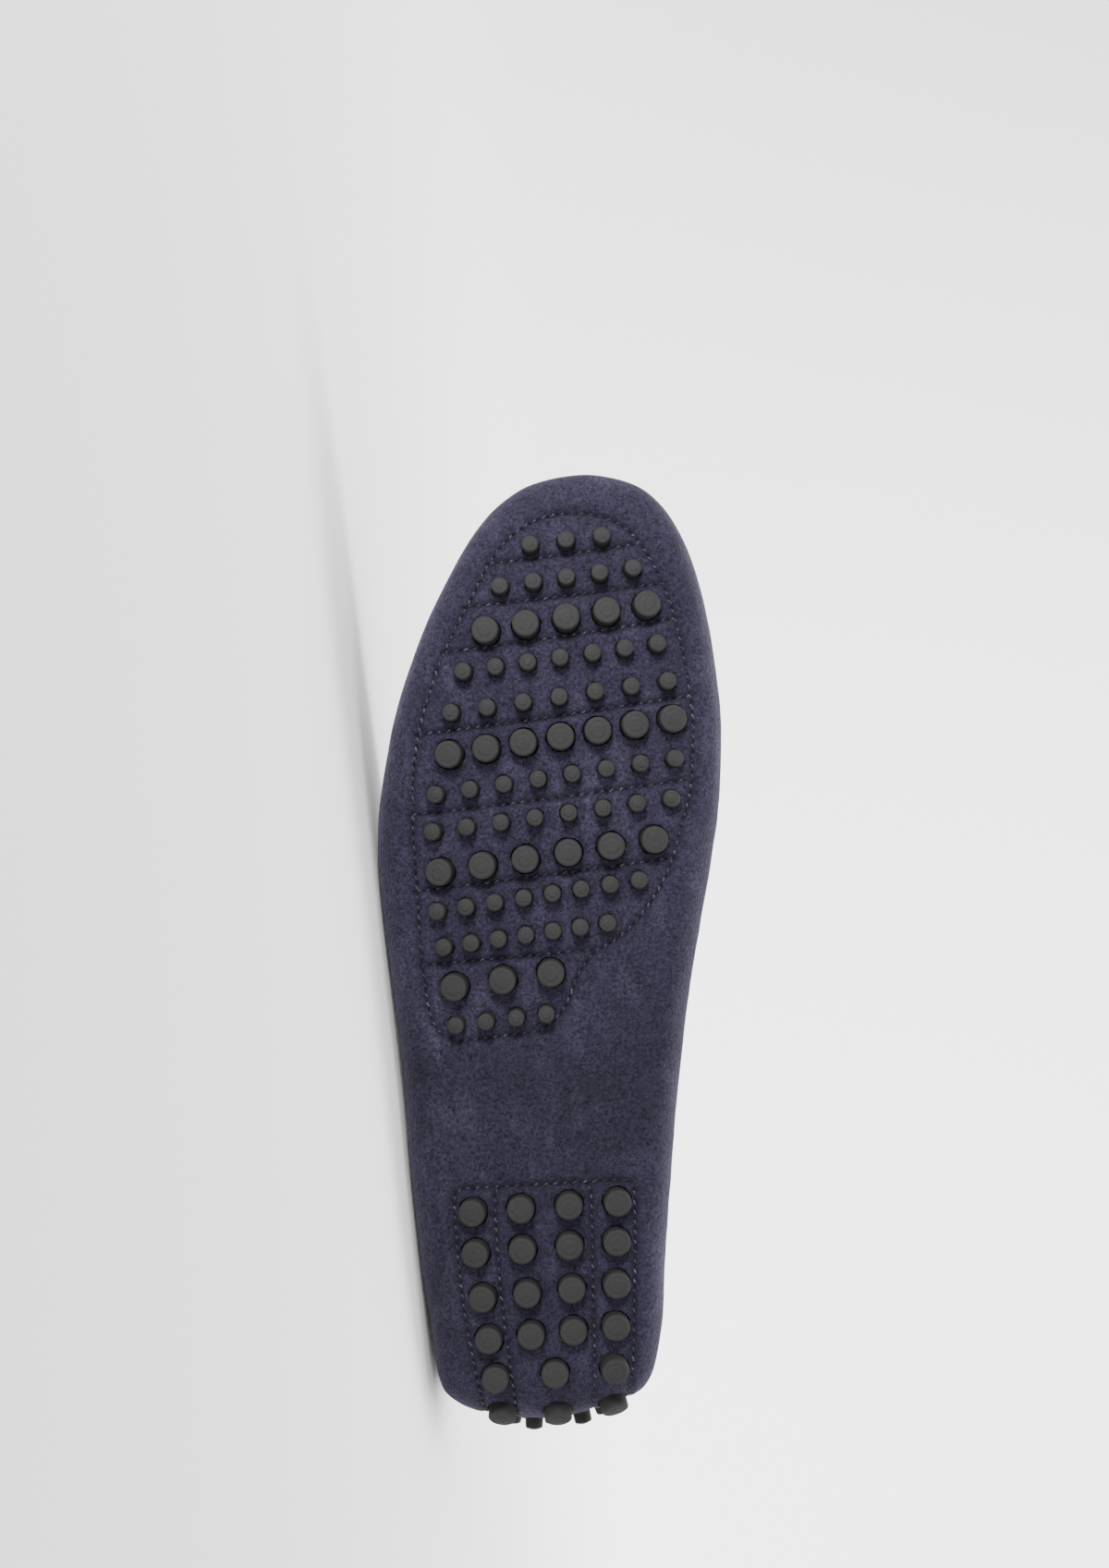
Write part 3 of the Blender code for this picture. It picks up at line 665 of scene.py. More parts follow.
def lying_pose():
    """Turn from the upright shoe to the frame, from the places of the two treads."""
    mounts = {mount["name"]: mount for mount in frame["record"]["mounts"]}
    heel = Vector(mounts["heel_tread"]["pos_m"])
    ball = Vector(mounts["ball_tread"]["pos_m"])
    up = -Vector(mounts["heel_tread"]["axis"]).normalized()
    run = (BALL_TREAD - HEEL_TREAD).normalized()
    lying_run = (ball - heel).normalized()
    lying_side = up.cross(lying_run)
    side = Vector((0, 0, 1)).cross(run)
    upright = Matrix((run, side, Vector((0, 0, 1)))).transposed()
    lying = Matrix((lying_run, lying_side, up)).transposed()
    turn = lying @ upright.transposed()
    return Matrix.Translation(heel - turn @ HEEL_TREAD) @ turn.to_4x4()


pose = lying_pose()


def linked(name, data):
    """New object in the scene."""
    made = bpy.data.objects.new(name, data)
    bpy.context.scene.collection.objects.link(made)
    return made


def finished_mesh(sheet, name):
    """Mesh of an edited sheet, which is then let go."""
    mesh = bpy.data.meshes.new(name)
    sheet.to_mesh(mesh)
    sheet.free()
    return mesh


def add_piece(name, mesh, materials, sharp=40):
    """Object of one piece, laid down from the upright shoe and shaded smooth."""
    for material in materials:
        mesh.materials.append(material)
    mesh.transform(pose)
    mesh.shade_smooth()
    mesh.set_sharp_from_angle(angle=math.radians(sharp))
    return linked(name, mesh)


def applied(piece):
    """Give a piece the mesh that its modifiers make."""
    bpy.context.view_layer.update()
    graph = bpy.context.evaluated_depsgraph_get()
    mesh = bpy.data.meshes.new_from_object(piece.evaluated_get(graph))
    piece.modifiers.clear()
    piece.data = mesh
    return piece


def fill_socket(tree, socket, value):
    """Link a socket to another, or give it a value."""
    if isinstance(value, bpy.types.NodeSocket):
        tree.links.new(value, socket)
    else:
        socket.default_value = value


def add_node(tree, kind, **inputs):
    """Shader node with its inputs set or linked, by their names."""
    node = tree.nodes.new(kind)
    for name, value in inputs.items():
        fill_socket(tree, node.inputs[name], value)
    return node


Grain = namedtuple("Grain", "scale detail roughness distortion")


def add_noise(tree, places, grain):
    """Noise from 0 to 1 at the given places."""
    return add_node(tree, "ShaderNodeTexNoise", Vector=places, Scale=grain.scale,
                    Detail=grain.detail, Roughness=grain.roughness,
                    Distortion=grain.distortion).outputs["Fac"]


def object_places(tree):
    return tree.nodes.new("ShaderNodeTexCoord").outputs["Object"]


def add_mark(tree, name):
    """Value that the mesh carries at each point under this name."""
    node = tree.nodes.new("ShaderNodeAttribute")
    node.attribute_name = name
    return node.outputs["Fac"]


def add_math(tree, operation, *values):
    node = tree.nodes.new("ShaderNodeMath")
    node.operation = operation
    for socket, value in zip(node.inputs, values):
        fill_socket(tree, socket, value)
    return node.outputs[0]


def add_scaled(tree, colour, gain):
    """Colour made brighter or darker as a whole."""
    node = tree.nodes.new("ShaderNodeVectorMath")
    node.operation = "SCALE"
    tree.links.new(colour, node.inputs[0])
    tree.links.new(gain, node.inputs["Scale"])
    return node.outputs[0]


def add_mix(tree, blend, factor, first, second):
    node = tree.nodes.new("ShaderNodeMix")
    node.data_type = "RGBA"
    node.blend_type = blend
    for slot, value in ((0, factor), (6, first), (7, second)):
        fill_socket(tree, node.inputs[slot], value)
    return node.outputs[2]


def add_range(tree, value, low, high, to_low, to_high):
    node = tree.nodes.new("ShaderNodeMapRange")
    tree.links.new(value, node.inputs["Value"])
    for name, number in (("From Min", low), ("From Max", high),
                         ("To Min", to_low), ("To Max", to_high)):
        node.inputs[name].default_value = number
    return node.outputs["Result"]


def new_group(name, inputs, outputs):
    """Empty shader group with named inputs and outputs, and its two end nodes."""
    group = bpy.data.node_groups.new(name, "ShaderNodeTree")
    for kind, label, value in inputs:
        socket = group.interface.new_socket(label, in_out="INPUT", socket_type=kind)
        if value is not None:
            socket.default_value = value
    for kind, label in outputs:
        group.interface.new_socket(label, in_out="OUTPUT", socket_type=kind)
    start = group.nodes.new("NodeGroupInput")
    end = group.nodes.new("NodeGroupOutput")
    return group, start, end


# Brushed nap: its clouds, patches, strokes, hairs and tufts, and how much each of them shows
NAP_CLOUD = Grain(34.0, 2.0, 0.5, 0.8)
NAP_PATCH = Grain(95.0, 4.0, 0.6, 0.5)
NAP_STROKE = Grain(40.0, 3.5, 0.52, 1.2)
NAP_HAIR = Grain(1150.0, 2.0, 0.8, 0.0)
NAP_TUFT = Grain(380.0, 2.0, 0.6, 0.5)
STROKE_STRETCH = (1.0, 1.0, 2.2)
STROKE_TURN = (0.0, 0.55, 0.0)
STROKE_LEAST = 0.3
STROKE_CLOUDED = 0.8
CLOUD_DARK = 0.38
PATCH_DARK = 0.09
PATCH_HEIGHT = 0.6
TUFT_SHARE = 0.2
SPECKLE_GAIN = 0.72


def make_nap_group():
    """Brushed nap: cloudy patches, strokes where it was rubbed, and a fine speckle of hairs."""
    group, start, end = new_group(
        "brushed_nap",
        [("NodeSocketColor", "Base", None), ("NodeSocketColor", "Pale", None),
         ("NodeSocketColor", "Deep", None), ("NodeSocketFloat", "Rubbed", 0.5),
         ("NodeSocketFloat", "Speckle", 0.5)],
        [("NodeSocketColor", "Colour"), ("NodeSocketFloat", "Height")])
    places = object_places(group)
    along = add_node(group, "ShaderNodeMapping", Vector=places, Scale=STROKE_STRETCH,
                     Rotation=STROKE_TURN).outputs["Vector"]
    soft = add_range(group, add_noise(group, places, NAP_CLOUD), 0.35, 0.68, 0.0, 1.0)
    mottled = add_range(group, add_noise(group, places, NAP_PATCH), 0.36, 0.66, 0.0, 1.0)
    stroke = add_range(group, add_noise(group, along, NAP_STROKE), 0.50, 0.74, 0.0, 1.0)
    hair = add_range(group, add_noise(group, places, NAP_HAIR), 0.30, 0.70, -1.0, 1.0)
    tuft = add_range(group, add_noise(group, places, NAP_TUFT), 0.32, 0.68, -1.0, 1.0)
    pale = add_math(group, "MULTIPLY", stroke, start.outputs["Rubbed"])
    pale = add_math(group, "MULTIPLY", pale,
                    add_math(group, "MULTIPLY_ADD", soft, STROKE_CLOUDED, STROKE_LEAST))
    dark = add_math(group, "MULTIPLY_ADD", add_math(group, "SUBTRACT", 1.0, soft), CLOUD_DARK,
                    add_math(group, "MULTIPLY", mottled, PATCH_DARK))
    body = add_mix(group, "MIX", dark, start.outputs["Base"], start.outputs["Deep"])
    body = add_mix(group, "MIX", pale, body, start.outputs["Pale"])
    grain = add_math(group, "MULTIPLY_ADD", tuft, TUFT_SHARE, hair)
    gain = add_math(group, "MULTIPLY_ADD", add_math(group, "MULTIPLY", grain, SPECKLE_GAIN),
                    start.outputs["Speckle"], 1.0)
    height = add_math(group, "MULTIPLY_ADD", mottled, PATCH_HEIGHT, grain)
    group.links.new(add_scaled(group, body, gain), end.inputs["Colour"])
    group.links.new(height, end.inputs["Height"])
    return group


brushed_nap = make_nap_group()


def new_material(name):
    material = bpy.data.materials.new(name)
    material.use_nodes = True
    tree = material.node_tree
    return material, tree, tree.nodes["Principled BSDF"]


def add_group(tree, group, **inputs):
    node = tree.nodes.new("ShaderNodeGroup")
    node.node_tree = group
    for name, value in inputs.items():
        fill_socket(tree, node.inputs[name], value)
    return node


def add_bump(tree, shader, height, distance, strength=1.0):
    bump = tree.nodes.new("ShaderNodeBump")
    bump.inputs["Distance"].default_value = distance
    bump.inputs["Strength"].default_value = strength
    tree.links.new(height, bump.inputs["Height"])
    tree.links.new(bump.outputs["Normal"], shader.inputs["Normal"])
    return bump


SUEDE = (0.0143, 0.0124, 0.0233, 1)
SUEDE_PALE = (0.0322, 0.0296, 0.0490, 1)
SUEDE_DEEP = (0.0092, 0.0080, 0.0155, 1)
# Colour of the painted shade along the seam troughs and round the holes, where the nap is also
# pressed down
SUEDE_PRESSED_SHADE = (0.0045, 0.0040, 0.0080, 1)
CUT_BASE = (0.0070, 0.0064, 0.0115, 1)
CUT_PALE = (0.0130, 0.0120, 0.0200, 1)
CUT_DEEP = (0.0040, 0.0036, 0.0065, 1)
SUEDE_SHEEN = (0.60, 0.58, 0.72, 1)
LINING = (0.30, 0.21, 0.13, 1)
LINING_RUBBED = (0.20, 0.135, 0.08, 1)
LINING_TONE = Grain(40.0, 4.0, 0.5, 0.0)
LINING_GRAIN = 900.0
# How strongly the suede's painted light and shade show
PAINTED_LIGHT_GAIN = 0.30
PRESSED_SHADE_SHARE = 0.75
NAP_HEIGHT = 0.00012
GRAIN_HEIGHT = 0.00008


def suede_material(name, base, pale, deep, rubbed):
    """Dyed suede with painted light and shade from the mesh's marks: paler up the rolled edges and
    walls as painted sheen, darker at the waist as painted shade, paler and darker in patches, and
    darker along the seam troughs and round the holes, where the nap is pressed down and shade is
    painted.
    """
    material, tree, shader = new_material(name)
    nap = add_group(tree, brushed_nap, Base=base, Pale=pale, Deep=deep, Rubbed=rubbed,
                    Speckle=1.0)
    # Painted light and shade: paler up the edges and walls, darker at the waist, and the patches
    gain = add_math(tree, "MULTIPLY_ADD", add_mark(tree, "nap_and_painted_light"), PAINTED_LIGHT_GAIN, 1.0)
    toned = add_scaled(tree, nap.outputs["Colour"], gain)
    # Painted shade: darker along the seam troughs and round the holes
    amount = add_math(tree, "MULTIPLY", add_mark(tree, "pressed_nap_and_shade"), PRESSED_SHADE_SHARE)
    tree.links.new(add_mix(tree, "MIX", amount, toned, SUEDE_PRESSED_SHADE), shader.inputs["Base Color"])
    shader.inputs["Roughness"].default_value = 0.92
    shader.inputs["Specular IOR Level"].default_value = 0.10
    shader.inputs["Sheen Weight"].default_value = 0.12
    shader.inputs["Sheen Roughness"].default_value = 0.40
    shader.inputs["Sheen Tint"].default_value = SUEDE_SHEEN
    add_bump(tree, shader, nap.outputs["Height"], NAP_HEIGHT, 0.9)
    return material


def lining_material():
    """Smooth tan leather with a fine grain, a little darker where the foot has rubbed it."""
    material, tree, shader = new_material("tan_lining")
    places = object_places(tree)
    tone = add_noise(tree, places, LINING_TONE)
    grain = add_node(tree, "ShaderNodeTexVoronoi", Vector=places, Scale=LINING_GRAIN)
    tree.links.new(add_mix(tree, "MIX", tone, LINING, LINING_RUBBED), shader.inputs["Base Color"])
    shader.inputs["Roughness"].default_value = 0.62
    add_bump(tree, shader, grain.outputs["Distance"], GRAIN_HEIGHT, 0.5)
    return material


def cut_suede_material():
    """Raw edge of the punched holes: fuzzy, and darker than the face."""
    material, tree, shader = new_material("cut_suede")
    nap = add_group(tree, brushed_nap, Base=CUT_BASE, Pale=CUT_PALE, Deep=CUT_DEEP, Rubbed=0.3,
                    Speckle=1.0)
    tree.links.new(nap.outputs["Colour"], shader.inputs["Base Color"])
    shader.inputs["Roughness"].default_value = 1.0
    return material


navy_suede = suede_material("navy_suede", SUEDE, SUEDE_PALE, SUEDE_DEEP, 0.48)
cut_suede = cut_suede_material()
tan_lining = lining_material()

HOLE_SIDES = 26
HOLE_FRAY = 0.00016


def axis_frame(place, axis):
    """Frame at a place whose z runs along the axis, turned the same way for pebble and hole."""
    across = (Vector((0, 1, 0)) - axis * axis.y).normalized()
    along = across.cross(axis)
    turn = Matrix((along, across, axis)).transposed().to_4x4()
    return Matrix.Translation(place) @ turn


def punches_mesh(rows, locate, draw):
    """Punches of one pad's holes, each a slightly ragged round."""
    punches = bmesh.new()
    for row in rows:
        radius = (LARGE_DIAMETER if row.size == "large" else SMALL_DIAMETER) / 2
        radius += HOLE_CLEARANCE[row.size]
        for place, normal in row_places(row, locate):
            made = bmesh.ops.create_cone(punches, cap_ends=True, segments=HOLE_SIDES,
                                         radius1=radius, radius2=radius, depth=3 * WALL)
            frayed = [1 + draw.uniform(-1, 1) * HOLE_FRAY / radius for _ in range(HOLE_SIDES)]
            for corner in made["verts"]:
                turn = math.atan2(corner.co.y, corner.co.x) / (2 * math.pi)
                scale = frayed[round(turn * HOLE_SIDES) % HOLE_SIDES]
                corner.co.x *= scale
                corner.co.y *= scale
            bmesh.ops.transform(punches, matrix=axis_frame(place - normal * WALL / 2, normal),
                                verts=made["verts"])
    return finished_mesh(punches, "punches")


def make_wrap():
    """Fine outer face, coarser inner face and the strip between them, with the holes cut."""
    mesh = outward_mesh("skin", plain_vertices, wrap_faces, Vector((0, 0, -1)))
    raised, pressed_nap_and_shade = relief(plain_vertices)
    outer = [corner.co + corner.normal * height for corner, height in zip(mesh.vertices, raised)]
    tree = BVHTree.FromPolygons(outer, wrap_faces)
    coarse = wrap_skin(STATIONS // 2, COLUMNS // 2, EDGE_STEPS // 2, WALL_STEPS // 2, 1)
    mesh = outward_mesh("inside", *coarse, Vector((0, 0, -1)))
    inner = [corner.co - corner.normal * WALL for corner in mesh.vertices]
    shift = len(outer)
    faces = list(wrap_faces) + [tuple(index + shift for index in face) for face in coarse[1]]
    around = 2 * STATIONS
    lip = (EDGE_STEPS + WALL_STEPS + LIP_STEPS) * around
    inner_lip = shift + (EDGE_STEPS // 2 + WALL_STEPS // 2 + 1) * STATIONS
    for step in range(STATIONS):
        first, middle, last = (lip + (2 * step + turn) % around for turn in range(3))
        here = inner_lip + step
        after = inner_lip + (step + 1) % STATIONS
        faces += [(first, middle, here), (middle, last, after), (middle, after, here)]
    mesh = local_mesh("suede_wrap", outer + inner, faces)
    slots = np.zeros(len(faces), dtype=np.int32)
    slots[len(wrap_faces):len(wrap_faces) + len(coarse[1])] = 1
    mesh.polygons.foreach_set("material_index", slots)
    # Mark of painted shade along the seam troughs and round the holes
    mark = mesh.attributes.new("pressed_nap_and_shade", "FLOAT", "POINT")
    mark.data.foreach_set("value", np.concatenate((pressed_nap_and_shade, np.zeros(len(inner)))))
    # Mark of the suede's painted sheen and shade, with its patches
    tones = [nap_and_painted_light_tone(point) for point in plain_vertices]
    mark = mesh.attributes.new("nap_and_painted_light", "FLOAT", "POINT")
    mark.data.foreach_set("value", np.concatenate((tones, np.zeros(len(inner)))))
    shell = bmesh.new()
    shell.from_mesh(mesh)
    bmesh.ops.recalc_face_normals(shell, faces=shell.faces)
    if shell.calc_volume(signed=True) < 0:
        bmesh.ops.reverse_faces(shell, faces=shell.faces)
    shell.to_mesh(mesh)
    shell.free()
    wrap = add_piece("suede_wrap", mesh, [navy_suede, tan_lining, cut_suede])
    draw = random.Random(7)
    cutters = []
    for rows, locate in ((FOREFOOT_PEBBLES, under_foot), (HEEL_PEBBLES, round_heel)):
        punches = punches_mesh(rows, locate, draw)
        punches.transform(pose)
        for material in (navy_suede, tan_lining, cut_suede):
            punches.materials.append(material)
        for face in punches.polygons:
            face.material_index = 2
        cutter = linked("punches", punches)
        cut = wrap.modifiers.new("Holes", "BOOLEAN")
        cut.operation = "DIFFERENCE"
        cut.object = cutter
        cut.solver = "MANIFOLD"
        cutters.append(cutter)
    applied(wrap)
    for cutter in cutters:
        bpy.data.objects.remove(cutter)
    wrap.data.set_sharp_from_angle(angle=math.radians(50))
    return wrap, tree


suede_wrap, suede_tree = make_wrap()
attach(suede_wrap, "root")
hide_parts("upper")

# The two rubber pads
# A thin moulded sheet under the ball and one under the heel, both inside the wrap, each with
# its turned pebbles of two sizes standing through the holes.
PAD_GAP = 0.0005
PAD_THICKNESS = 0.0015
PEBBLE_DRAFT = 0.975
PEBBLE_EDGE = 0.00065
LARGE_CROWN = 0.00034
SMALL_CROWN = 0.00046
TURNED_MARK = 0.00006
PEBBLE_SIDES = 32
PEBBLE_BEND = 0.45
# Paleness of each ring of a pebble's section, from root to tip: scuffed tips, with the sides kept
# black as painted shade
SCUFF_AND_SHADE_LEVELS = (0, 0, 0, 0.25, 0.6, 0.9, 1)
FOREFOOT_WEAR = 1.0
# The heel pad's tips are paler by less: painted shade towards the heel
HEEL_WEAR_AND_SHADE = 0.82
RUBBER = (0.0055, 0.0053, 0.0055, 1)
RUBBER_WORN_AND_LIT = (0.0164, 0.0157, 0.0162, 1)
RUBBER_DUST = Grain(170.0, 5.0, 0.65, 0.0)
RUBBER_TOOTH = Grain(1500.0, 2.0, 0.5, 0.0)
TOOTH_HEIGHT = 0.00004

# Tip of a pebble from its rim to its middle: shares of its radius, and of the turned mark's depth
TurnedRing = namedtuple("TurnedRing", "share sunk")
TURNED_TIP = (
    TurnedRing(0.84, 0.0),
    TurnedRing(0.80, 1.0),
    TurnedRing(0.62, 1.0),
    TurnedRing(0.58, 0.0),
    TurnedRing(0.34, 0.2),
    TurnedRing(0.30, 1.0),
    TurnedRing(0.16, 0.8),
    TurnedRing(0.12, 0.2),
)


def rubber_material():
    """Matt moulded rubber, greyer where the tips are scuffed, with painted shade that keeps the
    sides black and the heel pad's tips a little darker.
    """
    material, tree, shader = new_material("charcoal_rubber")
    places = object_places(tree)
    dust = add_noise(tree, places, RUBBER_DUST)
    tooth = add_noise(tree, places, RUBBER_TOOTH)
    amount = add_math(tree, "MULTIPLY", add_range(tree, dust, 0.30, 0.70, 0.60, 1.0),
                      add_range(tree, tooth, 0.30, 0.70, 0.75, 1.15))
    # Paleness mark: scuffed tips, with the sides left dark as painted shade
    amount = add_math(tree, "MULTIPLY", amount, add_mark(tree, "paleness_and_painted_light"))
    colour = add_mix(tree, "MIX", amount, RUBBER, RUBBER_WORN_AND_LIT)
    tree.links.new(colour, shader.inputs["Base Color"])
    tree.links.new(add_range(tree, dust, 0.30, 0.70, 0.72, 0.88), shader.inputs["Roughness"])
    shader.inputs["Specular IOR Level"].default_value = 0.20
    add_bump(tree, shader, tooth, TOOTH_HEIGHT, 0.6)
    return material


charcoal_rubber = rubber_material()


def pebble_profile(radius, proud, crown):
    """Half section of a pebble from its root up the side and over the turned tip."""
    root = WALL + PAD_GAP + PAD_THICKNESS / 2
    side = radius * PEBBLE_DRAFT
    tip = side - PEBBLE_EDGE
    profile = [(radius, -root), (radius, 0.0), ((radius + side) / 2, proud * PEBBLE_BEND)]
    for turn in (0, 30, 60, 90):
        angle = math.radians(turn)
        profile.append((tip + PEBBLE_EDGE * math.cos(angle),
                        proud - PEBBLE_EDGE * (1 - math.sin(angle))))
    for ring in TURNED_TIP:
        height = proud + crown * (1 - ring.share ** 2) - TURNED_MARK * ring.sunk
        profile.append((tip * ring.share, height))
    return profile


def add_turned(sheet, profile, sides, place):
    """Turned solid from a half section, closed at both ends."""
    rings = []
    for radius, height in profile:
        ring = []
        for step in range(sides):
            angle = 2 * math.pi * step / sides
            point = Vector((radius * math.cos(angle), radius * math.sin(angle), height))
            ring.append(sheet.verts.new(place @ point))
        rings.append(ring)
    for low, high in zip(rings, rings[1:]):
        for step in range(sides):
            after = (step + 1) % sides
            sheet.faces.new((low[step], low[after], high[after], high[step]))
    sheet.faces.new(list(reversed(rings[0])))
    sheet.faces.new(rings[-1])


def sheet_faces(rows, columns):
    """Faces of a grid of points, row after row."""
    faces = []
    for row in range(rows - 1):
        for column in range(columns - 1):
            here = row * columns + column
            faces.append((here, here + 1, here + columns + 1, here + columns))
    return faces


def thickened(piece, thickness):
    """Give a sheet its thickness, inward from its face."""
    shell = piece.modifiers.new("Thickness", "SOLIDIFY")
    shell.thickness = thickness
    shell.offset = -1.0
    return applied(piece)


def pad_mesh(name, grid, rows, locate, wear_and_shade):
    """Rubber sheet just inside the wrap, and its pebbles rooted in it."""
    inset = WALL + PAD_GAP
    vertices = [place - normal * inset for line in grid for place, normal in line]
    mesh = outward_mesh(name, vertices, sheet_faces(len(grid), len(grid[0])), Vector((0, 0, -1)))
    piece = thickened(linked(name, mesh), PAD_THICKNESS)
    sheet = bmesh.new()
    sheet.from_mesh(piece.data)
    bpy.data.objects.remove(piece)
    for row in rows:
        large = row.size == "large"
        radius = (LARGE_DIAMETER if large else SMALL_DIAMETER) / 2
        profile = pebble_profile(radius, LARGE_PROUD if large else SMALL_PROUD,
                                 LARGE_CROWN if large else SMALL_CROWN)
        for place, normal in row_places(row, locate):
            add_turned(sheet, profile, PEBBLE_SIDES, axis_frame(place, normal))
    bmesh.ops.recalc_face_normals(sheet, faces=sheet.faces)
    mesh = finished_mesh(sheet, name)
    # Paleness of each pebble point: scuffed tips, sides kept dark as painted shade, heel tips a
    # little darker as painted shade
    scuffs_and_shade = [0.0] * len(mesh.vertices)
    ring = len(pebble_profile(1, 1, 0)) * PEBBLE_SIDES
    first = len(mesh.vertices) - ring * sum(row.count for row in rows)
    for index in range(first, len(mesh.vertices)):
        level = (index - first) % ring // PEBBLE_SIDES
        scuffs_and_shade[index] = wear_and_shade * SCUFF_AND_SHADE_LEVELS[min(level, len(SCUFF_AND_SHADE_LEVELS) - 1)]
    mark = mesh.attributes.new("paleness_and_painted_light", "FLOAT", "POINT")
    mark.data.foreach_set("value", scuffs_and_shade)
    return mesh


PAD_COLUMNS = 20
PAD_LINES = 70
forefoot_grid = []
for station in np.linspace(FOREFOOT_EDGE[0].station, FOREFOOT_EDGE[-1].station, PAD_LINES):
    forefoot_grid.append([forefoot_place(station, part)
                          for part in np.linspace(0, 1, PAD_COLUMNS)])
heel_grid = [[heel_pad_place(run, part) for part in np.linspace(0, 1, PAD_COLUMNS)]
             for run in np.linspace(HEEL_FIRST, HEEL_LAST, PAD_LINES)]
for name, grid, rows, locate, wear_and_shade in (
        ("forefoot_pad", forefoot_grid, FOREFOOT_PEBBLES, under_foot, FOREFOOT_WEAR),
        ("heel_pad", heel_grid, HEEL_PEBBLES, round_heel, HEEL_WEAR_AND_SHADE)):
    mesh = pad_mesh(name, grid, rows, locate, wear_and_shade)
    pad = add_piece("rubber_" + name, mesh, [charcoal_rubber], 50)
    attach(pad, "root")
    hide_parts(name)

# The pad stitching
# Lock stitches of navy thread sew each pad into the wrap: round its outline, across between
# the rows of the forefoot, and along the heel. Each stitch dives into its needle holes, which
# carry dark discs of painted shade.
STITCH_LENGTH = 0.0016
THREAD_RADIUS = 0.00024
THREAD_VARIES = 0.35
STITCH_SUNK = 0.00045
STITCH_PROUD = 0.00022
STITCH_SLANT = math.radians(26)
NEEDLE_RADIUS = 0.00048
NEEDLE_STRETCH = 1.5
NEEDLE_TAPER = 0.7
NEEDLE_DEPTH = 0.0001
NEEDLE_LIFT = 0.00002
NEEDLE_SIDES = 10
THREAD_RINGS = 7
THREAD_SIDES = 6
THREAD_END = 0.75
THREAD = (0.0065, 0.0062, 0.0115, 1)
# Pale colour of the painted glints on the thread
THREAD_GLINT = (0.065, 0.062, 0.085, 1)
THREAD_TWIST = Grain(1400.0, 2.0, 0.5, 0.0)
THREAD_GLINT_SPREAD = Grain(160.0, 2.0, 0.5, 0.0)
TWIST_HEIGHT = 0.00010
# Colours of the needle-hole discs: painted shade
NEEDLE_SHADE_DARK = (0.003, 0.003, 0.005, 1)
NEEDLE_SHADE_PALE = (0.010, 0.010, 0.016, 1)
NEEDLE_SHADE_TONE = Grain(900.0, 2.0, 0.5, 0.0)


def thread_material():
    """Twisted navy thread with a faint gloss, and pale flecks painted into its colour as glints.
    """
    material, tree, shader = new_material("navy_thread")
    places = object_places(tree)
    twist = add_noise(tree, places, THREAD_TWIST)
    paleness_and_painted_light = add_noise(tree, places, THREAD_GLINT_SPREAD)
    # Painted glints: pale flecks where the twist and the glint noise are both high
    amount = add_math(tree, "MULTIPLY", add_range(tree, twist, 0.35, 0.65, 0.2, 1.0),
                      add_range(tree, paleness_and_painted_light, 0.40, 0.66, 0.05, 1.0))
    tree.links.new(add_mix(tree, "MIX", amount, THREAD, THREAD_GLINT), shader.inputs["Base Color"])
    shader.inputs["Roughness"].default_value = 0.50
    shader.inputs["Specular IOR Level"].default_value = 0.30
    add_bump(tree, shader, twist, TWIST_HEIGHT, 0.8)
    return material


def needle_shade_material():
    """Near-black disc laid over a needle hole: painted shade of the hollow."""
    material, tree, shader = new_material("needle_hole_shade")
    tone = add_noise(tree, object_places(tree), NEEDLE_SHADE_TONE)
    tree.links.new(add_mix(tree, "MIX", tone, NEEDLE_SHADE_DARK, NEEDLE_SHADE_PALE), shader.inputs["Base Color"])
    shader.inputs["Roughness"].default_value = 1.0
    shader.inputs["Specular IOR Level"].default_value = 0.0
    return material


navy_thread = thread_material()
needle_hole_shade = needle_shade_material()


def add_tube(sheet, points, radii, sides, slot=0):
    """Closed tube through a few points, with a radius at each."""
    rings = []
    for index, point in enumerate(points):
        before = points[max(index - 1, 0)]
        after = points[min(index + 1, len(points) - 1)]
        along = (after - before).normalized()
        lean = Vector((0, 0, 1)) if abs(along.z) < 0.9 else Vector((1, 0, 0))
        side = along.cross(lean).normalized()
        up = side.cross(along)
        ring = []
        for step in range(sides):
            angle = 2 * math.pi * step / sides
            reach = side * math.cos(angle) + up * math.sin(angle)
            ring.append(sheet.verts.new(point + reach * radii[index]))
        rings.append(ring)
    faces = [sheet.faces.new(rings[0]), sheet.faces.new(list(reversed(rings[-1])))]
    for low, high in zip(rings, rings[1:]):
        for step in range(sides):
            after = (step + 1) % sides
            faces.append(sheet.faces.new((low[after], low[step], high[step], high[after])))
    for face in faces:
        face.material_index = slot


def even_places(path, pitch):
    """Places a pitch apart along a path of places and normals, fitted to its length."""
    spots, runs = path_runs(path)
    normals = np.array([tuple(normal) for _, normal in path])
    count = max(round(runs[-1] / pitch), 1)
    wanted = np.linspace(0, runs[-1], count + 1)
    placed = [np.interp(wanted, runs, spots[:, axis]) for axis in range(3)]
    facing = [np.interp(wanted, runs, normals[:, axis]) for axis in range(3)]
    return [(Vector(spot), Vector(turn).normalized())
            for spot, turn in zip(zip(*placed), zip(*facing))]


